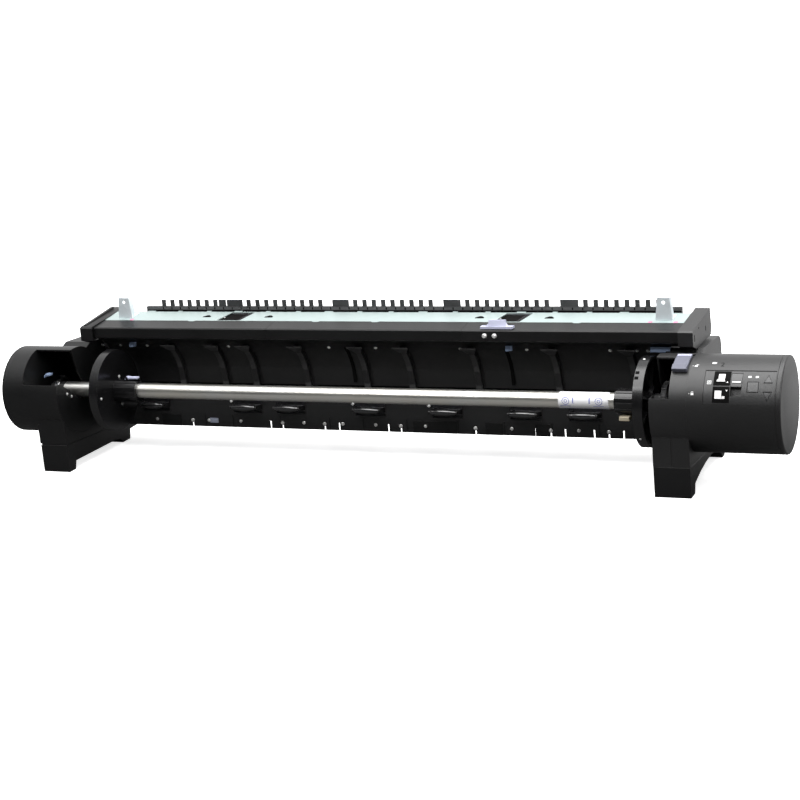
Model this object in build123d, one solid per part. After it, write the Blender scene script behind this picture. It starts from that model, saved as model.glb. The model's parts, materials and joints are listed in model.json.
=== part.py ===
from build123d import *
import math
import os

# Roll feed unit of a wide printer: one 44 inch roll on a spool between two drum housings,
# a paper guide behind it and a flat top with a comb of fingers. Millimetres.
# The model is drawn about the roll's own axis: X along the roll (0 midway between the
# flanges), Y to the back, Z up. It is moved at the end to stand on Z = 0, centred.

# ---- overall sizes
MEDIA_WIDTH = 1120.0          # between the inner faces of the two flanges
GROUND_DROP = 158.0           # roll axis above the floor
DRUM_R = 89.5                 # outside of the round housings
WALL = 3.0                    # moulded covers
SHEET = 1.6                   # plated sheet steel
PLATE = 3.0                   # side plates of the frame
GAP = 0.3                     # between bodies that move past each other
RUN = 0.05                    # radial clearance of a running fit

# ---- spool
SHAFT_R = 15.6
SHAFT_BORE_R = SHAFT_R - 2.0
FLANGE_R = 84.3
FLANGE_T = 18.5
FLANGE_RIM = 6.0
FLANGE_WEB = 4.0
CORE_R = SHAFT_R + 8.1        # hub that plugs into a 2 inch core
HUB_LENGTH = 52.0
BEARING_R = SHAFT_R + 5.4
BEARING_T = 10.0
CRADLE_R = BEARING_R + 7.0
LIFT_ANGLE = 130.7            # direction in which the spool lifts out, from +Y towards +Z

# ---- stations along X, worked out from the flanges
L_FLANGE = -MEDIA_WIDTH / 2
R_FLANGE = MEDIA_WIDTH / 2
SPREAD = MEDIA_WIDTH / 1120.0  # repeated pieces keep their share of the width
L_GAP = 73.5                  # left flange to left support
L_SUPPORT = 61.0
L_RECESS = 84.0
L_DRUM_END = 134.5
R_GAP = 16.5
R_COLUMN = 32.0
R_RING = 33.0
R_DRUM = 158.0
CAP_T = 9.4
CAP_ROUND = 3.0
L_IN = L_FLANGE - FLANGE_T - L_GAP
L_OUT = L_IN - L_SUPPORT
L_PART = L_IN - L_RECESS
L_END = L_IN - L_DRUM_END
R_IN = R_FLANGE + FLANGE_T + R_GAP
R_RING_X = R_IN + R_COLUMN
R_DRUM_X = R_RING_X + R_RING
R_CAP_X = R_DRUM_X + R_DRUM
R_END = R_CAP_X + CAP_T

# ---- openings of the housings
SPLIT_Z = 29.0                # top edge of the front walls
REAR_LIP_Y = -16.0            # front edge of the fixed top shell
RING_LIP_ANGLE = 88.0
RING_TRAVEL = 33.0
NOTCH_R = SHAFT_R + 2.9
SLOT_REACH = DRUM_R + 10.5     # past the housings, for cuts

# ---- legs and feet
LEG_FRONT_Y = 11.5 - DRUM_R
SEAM_FRONT_Z = -DRUM_R - 10.5
SEAM_MIDDLE = (60.0, -DRUM_R - 19.5)
SEAM_REAR_Z = -DRUM_R - 28.5
REAR_Y = 206.0
SHOULDER_Z = 80.0

# ---- upper unit
TOP_OVERHANG = 90.0           # past the flanges
TOP_HALF = MEDIA_WIDTH / 2 + TOP_OVERHANG
END_COVER = 28.0
BEAM_SEAMS = (-221.0 * SPREAD, 197.0 * SPREAD)
BEAM_FRONT_Y = 33.0
BEAM_TOP_Z = DRUM_R + 34.5
BEAM_LOW_Z = BEAM_TOP_Z - 21.0
LIP_Y, LIP_Z = 58.0, BEAM_TOP_Z - 34.0
STRIP_REAR_Y = 80.0
TOP_LOW_Z = BEAM_TOP_Z - 36.0
TOP_SLOPE = math.tan(math.radians(6.5))
PLATE_REAR_Y = 134.0
PLATE_FOLD_Z = BEAM_TOP_Z       # lower edge of the sheet's rear fold
SENSOR_X = (-324.0 * SPREAD, 279.0 * SPREAD)
SENSOR_L = 53.0
SENSOR_Y = (82.0, 131.0)
SENSOR_LEAN = 12.0            # the windows' rear edge sits this far to the right
HANGER_X = (L_FLANGE - 18.0, R_FLANGE + 20.0)
HANGER_Y = 92.0
HANGER_TOP = BEAM_TOP_Z + 50.0
HANGER_HALF = (16.5, 12.0)    # half widths at the foot and at the tip
HANGER_DEPTH = 14.0
HANGER_FOOT = 30.0
HANGER_HOLE_R = 3.2

# ---- comb of fingers
COMB_X = (L_FLANGE + 4.0, R_FLANGE + 41.0)
COMB_Y = (144.0, 153.0)
COMB_Z = (BEAM_TOP_Z + 1.0, BEAM_TOP_Z + 20.0)
COMB_TOP = BEAM_TOP_Z + 34.0
COMB_PITCH = 242.0
COMB_FIRST = L_FLANGE - 46.0
WIDE_TOOTH = 36.0
TOOTH = 9.0
TOOTH_PITCH = 20.5
TOOTH_START = 46.0
TOOTH_COUNT = 9
TOOTH_T = 3.0
SPLICE_TOOTH = (-19.0, -3.0)  # from the second wide tooth, where two lengths of comb meet

# ---- curved guide behind the roll, its ribs, and the lower guide
GUIDE_R = FLANGE_R + 23.7
GUIDE_T = 2.5
GUIDE_TOP_ANGLE = 56.0
GUIDE_CREASE_ANGLE = 14.5
GUIDE_STEPS = 6
GUIDE_FOOT = (GUIDE_R + 4.0, -12.0)
RIB_X = [x * SPREAD for x in (-463, -362, -290, -172, -40, 58, 200, 364, 516)]
RIB_W = 13.0
RIB_H = 9.0
LOWER_Y = GUIDE_R - 8.0
LOWER_TOP_Z = -40.0
LOWER_BOTTOM_Z = -104.0
SLIT_X = [x * SPREAD for x in (-268, -112, -3, 309.5, 369.6, 428, 486.6)]
KEYHOLE_X = [x * SPREAD for x in (-450, -239, -143, 26, 186, 342, 459)]
GUIDE_SCREW_X = [x * SPREAD for x in (-588, -524, -332, -105, -3, 177, 313, 478)]
LOWER_SCREW_X = [x * SPREAD for x in (-536, -411, -336, -190, -102, -29, 80, 262, 399)]
SLIT_W = 3.0
SLIT_H = 16.0
SCREW_R = 3.6
SCREW_H = 2.4

# ---- sprung guide rollers on one rocking bar
ROLLER_X = [x * SPREAD for x in (-534, -316, -217, -38, 128, 293, 414)]
ROLLER_Y, ROLLER_Z = LOWER_Y - 20.0, -55.0
ROLLER_L = 53.0
ROLLER_R = 7.5
ROLLER_END_R = 4.5
ROLLER_PIN_R = 2.0
BAR_Y, BAR_Z = LOWER_Y + 9.0, -60.0
BAR_R = 3.0
CHEEK_T = 3.0

# ---- drive of the spool
SPOOL_MODULE = 1.25
SPOOL_TEETH = 60
IDLER_SMALL_TEETH = 24
IDLER_BIG_TEETH = 48
PINION_TEETH = 12
DRIVE_MODULE = 1.0
GEAR_W = 9.0
IDLER_PIN_R = 3.0
COLLAR_R = 66.0

# ---- feed roller at the top of the path
FEED_Y, FEED_Z, FEED_R = 150.0, BEAM_TOP_Z - 16.0, 11.0
NIP_Y = FEED_Y - FEED_R
PINCH_R = 7.85
FEED_SHAFT_R = 5.0
FEED_TEETH = 32
FEED_PINION_TEETH = 10

# ---- control panel on the right drum
PANEL_X = (R_DRUM_X + 30.0, R_CAP_X - 2.0)
PANEL_ANGLE = (123.5, 165.0)
PANEL_SINK = 1.2
BUTTON_GAP = 0.4
BUTTON_TRAVEL = 1.2
START_X, START_ANGLE, START_SIZE = R_CAP_X - 41.0, 144.6, 18.5
ARROW_X, ARROW_SIZE = R_CAP_X - 15.0, 14.0
ARROW_UP_ANGLE, ARROW_DOWN_ANGLE = 134.3, 155.5
SWITCH_X, SWITCH_ANGLE = R_CAP_X - 70.5, 141.3
SWITCH_SLOT = (20.0, 44.0)
SWITCH_KNOB = (19.0, 26.0)

# ---- small release lever on the front edge of the top
LEVER_X = 268.5 * SPREAD
LEVER_L = 65.0
LEVER_HUMP = (-16.5, 17.5)    # ends of its raised pad, from the middle
LEVER_SCREW = (-23.5, -3.5)   # its two thumb screws, from the middle
LEVER_T = 4.5


# ---------------------------------------------------------------- drawing helpers
def outline(points, x0, x1):
    """A closed outline given as (y, z) points, pushed along X from x0 to x1."""
    face = Plane.YZ.offset(x0) * make_face(Polyline(*points, close=True))
    return extrude(face, amount=x1 - x0, dir=(1, 0, 0))


def rod(radius, x0, x1, y=0.0, z=0.0):
    face = Plane.YZ.offset(x0) * Pos(y, z) * Circle(radius)
    return extrude(face, amount=x1 - x0, dir=(1, 0, 0))


def tube(outer, inner, x0, x1, y=0.0, z=0.0):
    return rod(outer, x0, x1, y, z) - rod(inner, x0 - 1, x1 + 1, y, z)


def block(x0, x1, y0, y1, z0, z1):
    middle = Pos((x0 + x1) / 2, (y0 + y1) / 2, (z0 + z1) / 2)
    return middle * Box(x1 - x0, y1 - y0, z1 - z0)


def polar(radius, degrees):
    """(y, z) of a point at an angle about the roll axis, from +Y towards +Z."""
    return radius * math.cos(math.radians(degrees)), radius * math.sin(math.radians(degrees))


def sector(x0, x1, a0, a1, reach=150.0):
    """A pie slice about the roll axis, for cutting out an arc of a shell."""
    steps = max(2, math.ceil((a1 - a0) / 45.0))
    rim = [polar(reach, a0 + (a1 - a0) * i / steps) for i in range(steps + 1)]
    return outline([(0.0, 0.0)] + rim, x0, x1)


def arc_band(outer, inner, x0, x1, a0, a1):
    return tube(outer, inner, x0, x1) & sector(x0 - 1, x1 + 1, a0, a1)


def radial(x, degrees):
    """Local frame on the drum: local x along X, local y around it, local z outwards."""
    return Pos(x, 0, 0) * Rot(degrees - 90.0, 0, 0)


def lift_slot(half_width, x0, x1, length=150.0):
    """Space a round part needs to lift out of its seat along the lift direction."""
    across = polar(half_width, LIFT_ANGLE - 90.0)
    away = polar(length, LIFT_ANGLE)
    corners = [
        across,
        (across[0] + away[0], across[1] + away[1]),
        (away[0] - across[0], away[1] - across[1]),
        (-across[0], -across[1]),
    ]
    return rod(half_width, x0, x1) + outline(corners, x0, x1)


def gear(module, teeth, x0, x1, y, z, phase):
    """Spur gear with straight flanks, a tooth centred on the angle phase (degrees)."""
    pitch_r = module * teeth / 2
    tip_r, root_r = pitch_r + 0.85 * module, pitch_r - 1.2 * module
    half = (math.pi * module / 4 - 0.11 * module) / pitch_r
    lean = math.tan(math.radians(20.0))
    tip_half = half - 0.85 * module * lean / pitch_r
    root_half = half + 1.2 * module * lean / pitch_r
    corners = ((root_r, -root_half), (tip_r, -tip_half), (tip_r, tip_half), (root_r, root_half))
    points = []
    for i in range(teeth):
        middle = math.radians(phase) + 2 * math.pi * i / teeth
        for radius, turn in corners:
            angle = middle + turn
            points.append((y + radius * math.cos(angle), z + radius * math.sin(angle)))
    return outline(points, x0, x1)


def top_z(y):
    """Height of the sloping top of the upper unit."""
    return BEAM_TOP_Z + (y - BEAM_FRONT_Y) * TOP_SLOPE


# ---------------------------------------------------------------- housings
def side_notch(x0, x1):
    """Opening of a side wall: round the shaft, and open to the front and top."""
    mouth = [
        (-SLOT_REACH, SPLIT_Z), (-70, SPLIT_Z), (-12, -13), (17, 6), (-3, 40),
        (REAR_LIP_Y, DRUM_R - 1.5), (REAR_LIP_Y, SLOT_REACH), (-SLOT_REACH, SLOT_REACH),
    ]
    return outline(mouth, x0, x1) + rod(NOTCH_R, x0, x1)


def left_drum_cover():
    shell = tube(DRUM_R, DRUM_R - WALL, L_END + CAP_T, L_IN - WALL)
    shell += rod(DRUM_R, L_IN - WALL, L_IN) - side_notch(L_IN - WALL - 1, L_IN + 1)
    shell += rod(DRUM_R - WALL / 2, L_PART - WALL, L_PART)
    window = block(L_PART, L_IN + 1, -SLOT_REACH, REAR_LIP_Y, SPLIT_Z, SLOT_REACH)
    return shell - window


def end_cap(x0, x1):
    """Disc with a rim and a rounded edge, closed at the end that faces away from the roll."""
    disc = rod(DRUM_R, x0, x1)
    ends = disc.faces().filter_by(Plane.YZ).sort_by(Axis.X)
    if x1 > 0:
        return fillet(ends[-1].edges(), radius=CAP_ROUND) - rod(DRUM_R - WALL, x0 - 1, x1 - WALL)
    return fillet(ends[0].edges(), radius=CAP_ROUND) - rod(DRUM_R - WALL, x0 + WALL, x1 + 1)


def right_column_cover():
    shell = tube(DRUM_R, DRUM_R - WALL, R_IN, R_DRUM_X)
    shell += rod(DRUM_R, R_IN - WALL, R_IN) - side_notch(R_IN - WALL - 1, R_IN + 1)
    slot = block(R_IN, R_RING_X, -SLOT_REACH, REAR_LIP_Y, SPLIT_Z, SLOT_REACH)
    low_angle = 180.0 - math.degrees(math.asin(SPLIT_Z / DRUM_R))
    return shell - slot - sector(R_RING_X, R_DRUM_X + 1, RING_LIP_ANGLE, low_angle)


def right_drum_cover():
    shell = tube(DRUM_R, DRUM_R - WALL, R_DRUM_X + WALL, R_CAP_X)
    shell += tube(DRUM_R, COLLAR_R - WALL, R_DRUM_X, R_DRUM_X + WALL)
    shell += tube(COLLAR_R, COLLAR_R - WALL, R_DRUM_X - 20, R_DRUM_X)
    cut = arc_band(DRUM_R + 1, DRUM_R - WALL - 1, PANEL_X[0], PANEL_X[1], *PANEL_ANGLE)
    return shell - cut


def leg_outline(front_y):
    return [
        (front_y, SEAM_FRONT_Z), (front_y, -30), (0, 60), (60, 87), (98, 85), (186, SHOULDER_Z),
        (197, 73), (201, 58), (REAR_Y, SEAM_REAR_Z), SEAM_MIDDLE,
    ]


def leg_cover(x0, x1, front_y):
    """Hollow moulded leg below and behind a round housing."""
    outer = outline(leg_outline(front_y), x0, x1)
    face = make_face(Polyline(*leg_outline(front_y), close=True))
    inner_face = offset(face, -WALL, kind=Kind.INTERSECTION)
    inner = extrude(Plane.YZ.offset(x0 + WALL) * inner_face, amount=x1 - x0 - 2 * WALL, dir=(1, 0, 0))
    return outer - inner - rod(DRUM_R, x0 - 1, x1 + 1)


def right_leg_cover():
    leg = leg_cover(R_IN - WALL, R_DRUM_X, LEG_FRONT_Y)
    low_z = SEAM_FRONT_Z + 1
    groove = block(R_RING_X - 0.5, R_RING_X + 0.5, LEG_FRONT_Y - 1, LEG_FRONT_Y + 0.8, low_z, -30)
    return leg - groove


def left_leg_cover():
    """Leg with a small blind cover clipped to its outer front corner."""
    front = LEG_FRONT_Y + 1
    tab = block(L_OUT - 4, L_OUT, front, front + 40, SEAM_FRONT_Z + 2, SEAM_FRONT_Z + 44)
    return leg_cover(L_OUT, L_IN, front) + (tab - rod(DRUM_R + GAP, L_OUT - 5, L_OUT + 1))


def left_foot():
    floor, arch = -GROUND_DROP, SEAM_MIDDLE[1] - 32
    points = [
        (LEG_FRONT_Y, SEAM_FRONT_Z), (LEG_FRONT_Y, floor), (-54, floor), (-49, arch),
        (104, arch - 3), (128, arch - 7), (138, floor), (168, floor), (173, SEAM_REAR_Z - 19),
        (REAR_Y, SEAM_REAR_Z - 18), (REAR_Y, SEAM_REAR_Z), SEAM_MIDDLE,
    ]
    return outline(points, L_OUT - 2, L_IN)


def right_foot():
    floor, arch = -GROUND_DROP, SEAM_MIDDLE[1] - 16
    points = [
        (LEG_FRONT_Y, SEAM_FRONT_Z), (LEG_FRONT_Y, floor), (-48, floor), (-43, arch - 15),
        (0, arch - 6), (44, arch - 1), (89, arch), (132, arch - 6), (164, arch - 19),
        (173, floor), (190, floor), (197, SEAM_REAR_Z - 22), (REAR_Y, SEAM_REAR_Z - 19),
        (REAR_Y, SEAM_REAR_Z), SEAM_MIDDLE,
    ]
    return outline(points, R_IN - WALL, R_DRUM_X)


# ---------------------------------------------------------------- frame
def side_plate(x0, x1, flange_x0, flange_x1):
    top = BEAM_TOP_Z - 6
    points = [
        (84, top - 28), (84, top), (157, top + 2), (157, 85), (182, 76), (191, 66), (196, 56),
        (200, LOWER_BOTTOM_Z), (LOWER_Y + 4, LOWER_BOTTOM_Z), (LOWER_Y + 4, -78), (LOWER_Y + 18, -66),
        (LOWER_Y + 18, 40), (96, 74),
    ]
    plate = outline(points, x0, x1)
    plate += block(flange_x0, flange_x1, 122, 180, -90, 60)
    bar = rod(FEED_SHAFT_R + RUN, x0 - 1, x1 + 1, FEED_Y, FEED_Z)
    return plate - bar


def left_side_plate():
    return side_plate(L_IN + 7, L_IN + 7 + PLATE, L_IN, L_IN + 7)


def right_side_plate():
    x1 = R_IN - WALL - 2
    return side_plate(x1 - PLATE, x1, x1, x1 + 2)


def lower_stay():
    x0, x1 = L_IN + 7 + PLATE, R_IN - WALL - 2 - PLATE
    return block(x0, x1, 124, 180, -84, -60) - block(x0 - 1, x1 + 1, 124 + 2, 180 - 2, -82, -59)


def rear_cover():
    """Sheet cover from the shoulder behind the comb down to the feet."""
    t = GUIDE_T
    points = [
        (166, 87), (186, SHOULDER_Z), (197, 73), (201, 58), (REAR_Y, -104), (REAR_Y - t, -104),
        (201 - t, 58 - 1), (196 - t, 71), (186 - 1, SHOULDER_Z - t), (166, 87 - t),
    ]
    return outline(points, L_IN, R_IN - WALL)


# ---------------------------------------------------------------- upper unit
def beam_cover(x0, x1):
    """Front beam: sloping top strip, upright front face and a lip running back under it."""
    f, t = BEAM_FRONT_Y, WALL
    points = [
        (f, BEAM_LOW_Z), (f, BEAM_TOP_Z - 2), (f + 2, top_z(f + 2)), (STRIP_REAR_Y, top_z(STRIP_REAR_Y)),
        (STRIP_REAR_Y, top_z(STRIP_REAR_Y) - t), (f + t, top_z(f + t) - t), (f + t, BEAM_LOW_Z + 1.5),
        (LIP_Y + 1.5, LIP_Z + 2.5), (LIP_Y, LIP_Z),
    ]
    return outline(points, x0, x1)


def top_cover_outline(inset=0.0):
    i = inset
    return [
        (24 + i, TOP_LOW_Z + 10 + i / 2), (24 + i, BEAM_TOP_Z - i), (28 + i, BEAM_TOP_Z + 3 - i),
        (164 - i, top_z(164) - i), (169 - i, TOP_LOW_Z + 13), (164 - i, TOP_LOW_Z - i),
        (50 + i, TOP_LOW_Z - i),
    ]


def top_cover(x0, x1, hollow_x0, hollow_x1):
    """End cover of the top: one closed end, open below and towards the middle."""
    return outline(top_cover_outline(), x0, x1) - outline(top_cover_outline(WALL), hollow_x0, hollow_x1)


def left_top_cover():
    x0, x1 = -TOP_HALF, -TOP_HALF + END_COVER
    cover = top_cover(x0, x1, x0 + WALL, x1 + 1)
    rail = [(34, top_z(34)), (150, top_z(150)), (150, top_z(150) + 5), (36, top_z(36) + 5)]
    return cover + outline(rail, -TOP_HALF + 3, -TOP_HALF + 9)


def right_top_cover():
    x0, x1 = TOP_HALF - END_COVER, TOP_HALF
    cover = top_cover(x0, x1, x0 - 1, x1 - WALL)
    wall_x0, wall_x1 = TOP_HALF - WALL - 1, TOP_HALF + 1
    slots = block(wall_x0, wall_x1, 35, 39, TOP_LOW_Z + 16, TOP_LOW_Z + 29)
    slots += rod(2.2, wall_x0, wall_x1, 71.5, TOP_LOW_Z + 34)
    slots += block(wall_x0, wall_x1, 122, 126, TOP_LOW_Z + 16, TOP_LOW_Z + 26)
    return cover - slots


def top_plate():
    """Plated sheet folded down at its front and rear edges, with two sensor windows."""
    y0, y1, t = STRIP_REAR_Y, PLATE_REAR_Y, SHEET
    low_z = BEAM_LOW_Z + 1
    points = [
        (y0, low_z), (y0, top_z(y0)), (y1, top_z(y1)), (y1, PLATE_FOLD_Z), (y1 - t, PLATE_FOLD_Z),
        (y1 - t, top_z(y1) - t), (y0 + t, top_z(y0) - t), (y0 + t, low_z),
    ]
    plate = outline(points, -TOP_HALF + END_COVER, TOP_HALF - END_COVER)
    for x in SENSOR_X:
        plate -= sensor_window(x)
    return plate


def sensor_window(x, inset=0.0):
    """Upright prism through a leaning window of the top sheet."""
    half, lean = SENSOR_L / 2 - inset, SENSOR_LEAN / 2
    y0, y1 = SENSOR_Y[0] + inset, SENSOR_Y[1] - inset
    corners = [(x - half - lean, y0), (x + half - lean, y0), (x + half + lean, y1), (x - half + lean, y1)]
    face = Plane.XY.offset(BEAM_TOP_Z - 4) * make_face(Polyline(*corners, close=True))
    return extrude(face, amount=25.0, dir=(0, 0, 1))


def media_sensors():
    """Dark sensor windows, sunk 3 mm below the top sheet."""
    pieces = []
    y0, y1 = SENSOR_Y
    bottom = BEAM_TOP_Z - 4
    for x in SENSOR_X:
        points = [(y0, bottom), (y0, top_z(y0) - 3), (y1, top_z(y1) - 3), (y1, bottom)]
        pieces.append(outline(points, x - SENSOR_L, x + SENSOR_L) & sensor_window(x, GAP))
    return Compound(children=pieces)


def comb_guide():
    """Rail behind the exit slot, carrying fingers that keep the paper's edge down."""
    rail = block(COMB_X[0], COMB_X[1], COMB_Y[0], COMB_Y[1], COMB_Z[0], COMB_Z[1])
    y0 = COMB_Y[0] + 2.5
    start = COMB_FIRST
    while start < COMB_X[1]:
        spans = [(start, start + WIDE_TOOTH)]
        for i in range(TOOTH_COUNT):
            left = start + TOOTH_START + i * TOOTH_PITCH
            spans.append((left, left + TOOTH))
        for x0, x1 in spans:
            if x0 > COMB_X[0] + 30 and x1 < COMB_X[1] - 38:
                rail += block(x0, x1, y0, y0 + TOOTH_T, COMB_Z[1] - 1, COMB_TOP)
        start += COMB_PITCH
    x0, x1 = (COMB_FIRST + COMB_PITCH + x for x in SPLICE_TOOTH)
    return rail + block(x0, x1, y0, y0 + TOOTH_T, COMB_Z[1] - 1, COMB_TOP)


def hanger_bracket(x):
    """Tapered channel that hooks under the printer: a web and two side flanges."""
    y, z0, z1 = HANGER_Y, top_z(HANGER_Y), HANGER_TOP
    (half0, half1), t = HANGER_HALF, SHEET
    web = Plane(origin=(x, y, 0), x_dir=(1, 0, 0), z_dir=(0, -1, 0))
    shape = [(-half0, z0), (half0, z0), (half1, z1), (-half1, z1)]
    hook = extrude(web * make_face(Polyline(*shape, close=True)), amount=HANGER_DEPTH, dir=(0, 1, 0))
    core = [(-half0 + t, z0 - 5), (half0 - t, z0 - 5), (half1 - t, z1 + 5), (-half1 + t, z1 + 5)]
    inner = Plane(origin=(x, y + t, 0), x_dir=(1, 0, 0), z_dir=(0, -1, 0))
    hook -= extrude(inner * make_face(Polyline(*core, close=True)), amount=20.0, dir=(0, 1, 0))
    hole = Pos(x, y, z1 - 9) * Rot(90, 0, 0) * Cylinder(HANGER_HOLE_R, 8)
    rear = y + HANGER_FOOT
    slope = [(y, z0), (rear, top_z(rear)), (rear, top_z(rear) + t), (y, z0 + t)]
    above = [(y - 2, top_z(y - 2)), (rear + 2, top_z(rear + 2)), (rear + 2, z1 + 30), (y - 2, z1 + 30)]
    hook = hook & outline(above, x - 30, x + 30)
    return hook - hole + outline(slope, x - half0, x + half0)


# ---------------------------------------------------------------- guides
def guide_turn():
    """Angle of one flat of the curved guide."""
    return (GUIDE_TOP_ANGLE - GUIDE_CREASE_ANGLE) / GUIDE_STEPS


def guide_face_points(radius_shift):
    radius = GUIDE_R + radius_shift
    arc = [polar(radius, GUIDE_TOP_ANGLE - guide_turn() * i) for i in range(GUIDE_STEPS + 1)]
    return arc + [(GUIDE_FOOT[0] + radius_shift, GUIDE_FOOT[1])]


def guide_span():
    return L_IN + 7 + PLATE, R_IN - WALL - 2 - PLATE


def curved_guide():
    """Black guide concentric with the roll, a flat foot below the crease, and upright ribs."""
    x0, x1 = -TOP_HALF + END_COVER, guide_span()[1]
    guide = outline(guide_face_points(0) + guide_face_points(GUIDE_T)[::-1], x0, x1)
    for x in RIB_X:
        rib = guide_face_points(-RIB_H)[1:] + guide_face_points(0.2)[:0:-1]
        guide += outline(rib, x - RIB_W / 2, x + RIB_W / 2)
    return guide


def lower_guide():
    """Upright panel below the roll, with a notch for each roller arm and slits at its foot."""
    x0, x1 = guide_span()
    y0, y1 = LOWER_Y, LOWER_Y + GUIDE_T
    panel = block(x0, x1, y0, y1, LOWER_BOTTOM_Z, LOWER_TOP_Z)
    for x in ROLLER_X:
        half = ROLLER_L / 2 + CHEEK_T + 3
        panel -= block(x - half, x + half, y0 - 1, y1 + 1, -72, LOWER_TOP_Z + 1)
    for x in SLIT_X:
        panel -= block(x, x + SLIT_W, y0 - 1, y1 + 1, LOWER_BOTTOM_Z - 1, LOWER_BOTTOM_Z + SLIT_H)
    for x in KEYHOLE_X:
        half, top = SLIT_W / 2, LOWER_BOTTOM_Z + SLIT_H / 2
        panel -= block(x - half, x + half, y0 - 1, y1 + 1, LOWER_BOTTOM_Z - 1, top)
    for x in bar_lug_x():
        lug = block(x - 2, x + 2, y1 - 0.5, BAR_Y + 7, BAR_Z - 7, BAR_Z + 7)
        panel += lug - rod(BAR_R + RUN, x - 3, x + 3, BAR_Y, BAR_Z)
    return panel


def bar_lug_x():
    """Places of the lugs that carry the bar, clear of the rollers."""
    middle = (ROLLER_X[0] + ROLLER_X[1]) / 2
    return (ROLLER_X[0] - 42, middle, ROLLER_X[3] - 42, ROLLER_X[5] - 42, ROLLER_X[6] + 46)


# ---------------------------------------------------------------- roller arms
def roller_arms():
    """Bar with a pair of cheeks for each roller, rocking as one."""
    arms = rod(BAR_R, ROLLER_X[0] - 50, ROLLER_X[-1] + 54, BAR_Y, BAR_Z)
    for x in ROLLER_X:
        for side in (-1, 1):
            near = x + side * (ROLLER_L / 2 + 0.5)
            x0, x1 = sorted((near, near + side * CHEEK_T))
            cheek = rod(6.0, x0, x1, BAR_Y, BAR_Z) + rod(4.5, x0, x1, ROLLER_Y, ROLLER_Z)
            link = [(BAR_Y, BAR_Z - 5), (BAR_Y, BAR_Z + 5)]
            link += [(ROLLER_Y, ROLLER_Z + 4), (ROLLER_Y, ROLLER_Z - 4)]
            cheek += outline(link, x0, x1)
            arms += cheek - rod(ROLLER_PIN_R + RUN, x0 - 1, x1 + 1, ROLLER_Y, ROLLER_Z)
        back = ROLLER_Y + ROLLER_R + 4
        arms += block(x - ROLLER_L / 2 - 1, x + ROLLER_L / 2 + 1, back, back + 4, -60, -56)
    return arms


def guide_roller(x):
    """Barrel-shaped roller with a pin at each end."""
    half = ROLLER_L / 2
    barrel = make_face(
        Polyline((-half, 0), (-half, ROLLER_END_R))
        + ThreePointArc((-half, ROLLER_END_R), (0, ROLLER_R), (half, ROLLER_END_R))
        + Polyline((half, ROLLER_END_R), (half, 0), (-half, 0))
    )
    body = Pos(x, ROLLER_Y, ROLLER_Z) * revolve(barrel, axis=Axis.X)
    reach = half + CHEEK_T
    return body + rod(ROLLER_PIN_R, x - reach, x + reach, ROLLER_Y, ROLLER_Z)


# ---------------------------------------------------------------- spool
def spool_shaft():
    return tube(SHAFT_R, SHAFT_BORE_R, L_OUT - 3, R_RING_X - 3)


def shaft_bearings():
    rings = [
        tube(BEARING_R, SHAFT_R + RUN, L_OUT + 10, L_OUT + 10 + BEARING_T),
        tube(BEARING_R, SHAFT_R + RUN, R_RING_X - 4 - BEARING_T, R_RING_X - 4),
    ]
    return Compound(children=rings)


def splined_hub(x0, x1, bore):
    hub = tube(CORE_R - 1.2, bore, x0, x1)
    for i in range(12):
        rib = block(x0 + 2, x1 - 2, -2.2, 2.2, CORE_R - 3, CORE_R)
        hub += Rot(i * 30.0, 0, 0) * rib
    return hub


def flange(inner_x, side, bore):
    """Disc flange: thick rim, thin web on the roll side, ribs outside, and a hub for the core."""
    rim_x = sorted((inner_x, inner_x + side * FLANGE_T))
    web_x = sorted((inner_x, inner_x + side * FLANGE_WEB))
    wheel = tube(FLANGE_R, FLANGE_R - FLANGE_RIM, *rim_x)
    wheel += tube(FLANGE_R - 1, bore, *web_x)
    boss_x = sorted((inner_x, inner_x + side * (FLANGE_T + 3)))
    wheel += tube(CORE_R + 5, bore, *boss_x)
    rib_x = sorted((inner_x + side * 1, inner_x + side * (FLANGE_T - 4)))
    for i in range(8):
        rib = block(rib_x[0], rib_x[1], -1.5, 1.5, CORE_R + 3, FLANGE_R - FLANGE_RIM + 1)
        wheel += Rot(i * 45.0 + 22.5, 0, 0) * rib
    hub_x = sorted((inner_x + side * 1, inner_x - side * HUB_LENGTH))
    return wheel + splined_hub(hub_x[0], hub_x[1], bore)


def left_flange():
    body = flange(L_FLANGE, -1, SHAFT_R + RUN)
    pocket = block(L_FLANGE + 18, L_FLANGE + HUB_LENGTH + 1, -6 - GAP, 6 + GAP, CORE_R - 5.5, CORE_R + 5)
    lugs = block(L_FLANGE + 20, L_FLANGE + 30, -9, -6 - GAP, CORE_R - 3, CORE_R + 6)
    lugs += block(L_FLANGE + 20, L_FLANGE + 30, 6 + GAP, 9, CORE_R - 3, CORE_R + 6)
    pin = Pos(L_FLANGE + 25, 0, CORE_R + 2) * Rot(90, 0, 0) * Cylinder(1.5 + RUN, 30)
    return body - pocket + lugs - pin


def flange_lever():
    """Oval thumb lever that clamps the left flange to the shaft."""
    pin = Pos(L_FLANGE + 25, 0, CORE_R + 2) * Rot(90, 0, 0) * Cylinder(1.5, 17)
    paddle = Pos(L_FLANGE + 37, 0, CORE_R + 3.2) * Box(28, 11.4, 3.4)
    heel = Pos(L_FLANGE + 25, 0, CORE_R + 2) * Rot(90, 0, 0) * Cylinder(3.6, 11.4)
    return pin + paddle + heel


def right_flange():
    return flange(R_FLANGE, 1, SHAFT_R)


def spool_gear():
    x0 = R_IN + 5
    ring = gear(SPOOL_MODULE, SPOOL_TEETH, x0, x0 + GEAR_W, 0, 0, LIFT_ANGLE + 180)
    return ring - rod(SHAFT_R, x0 - 1, x0 + GEAR_W + 1)


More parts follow.
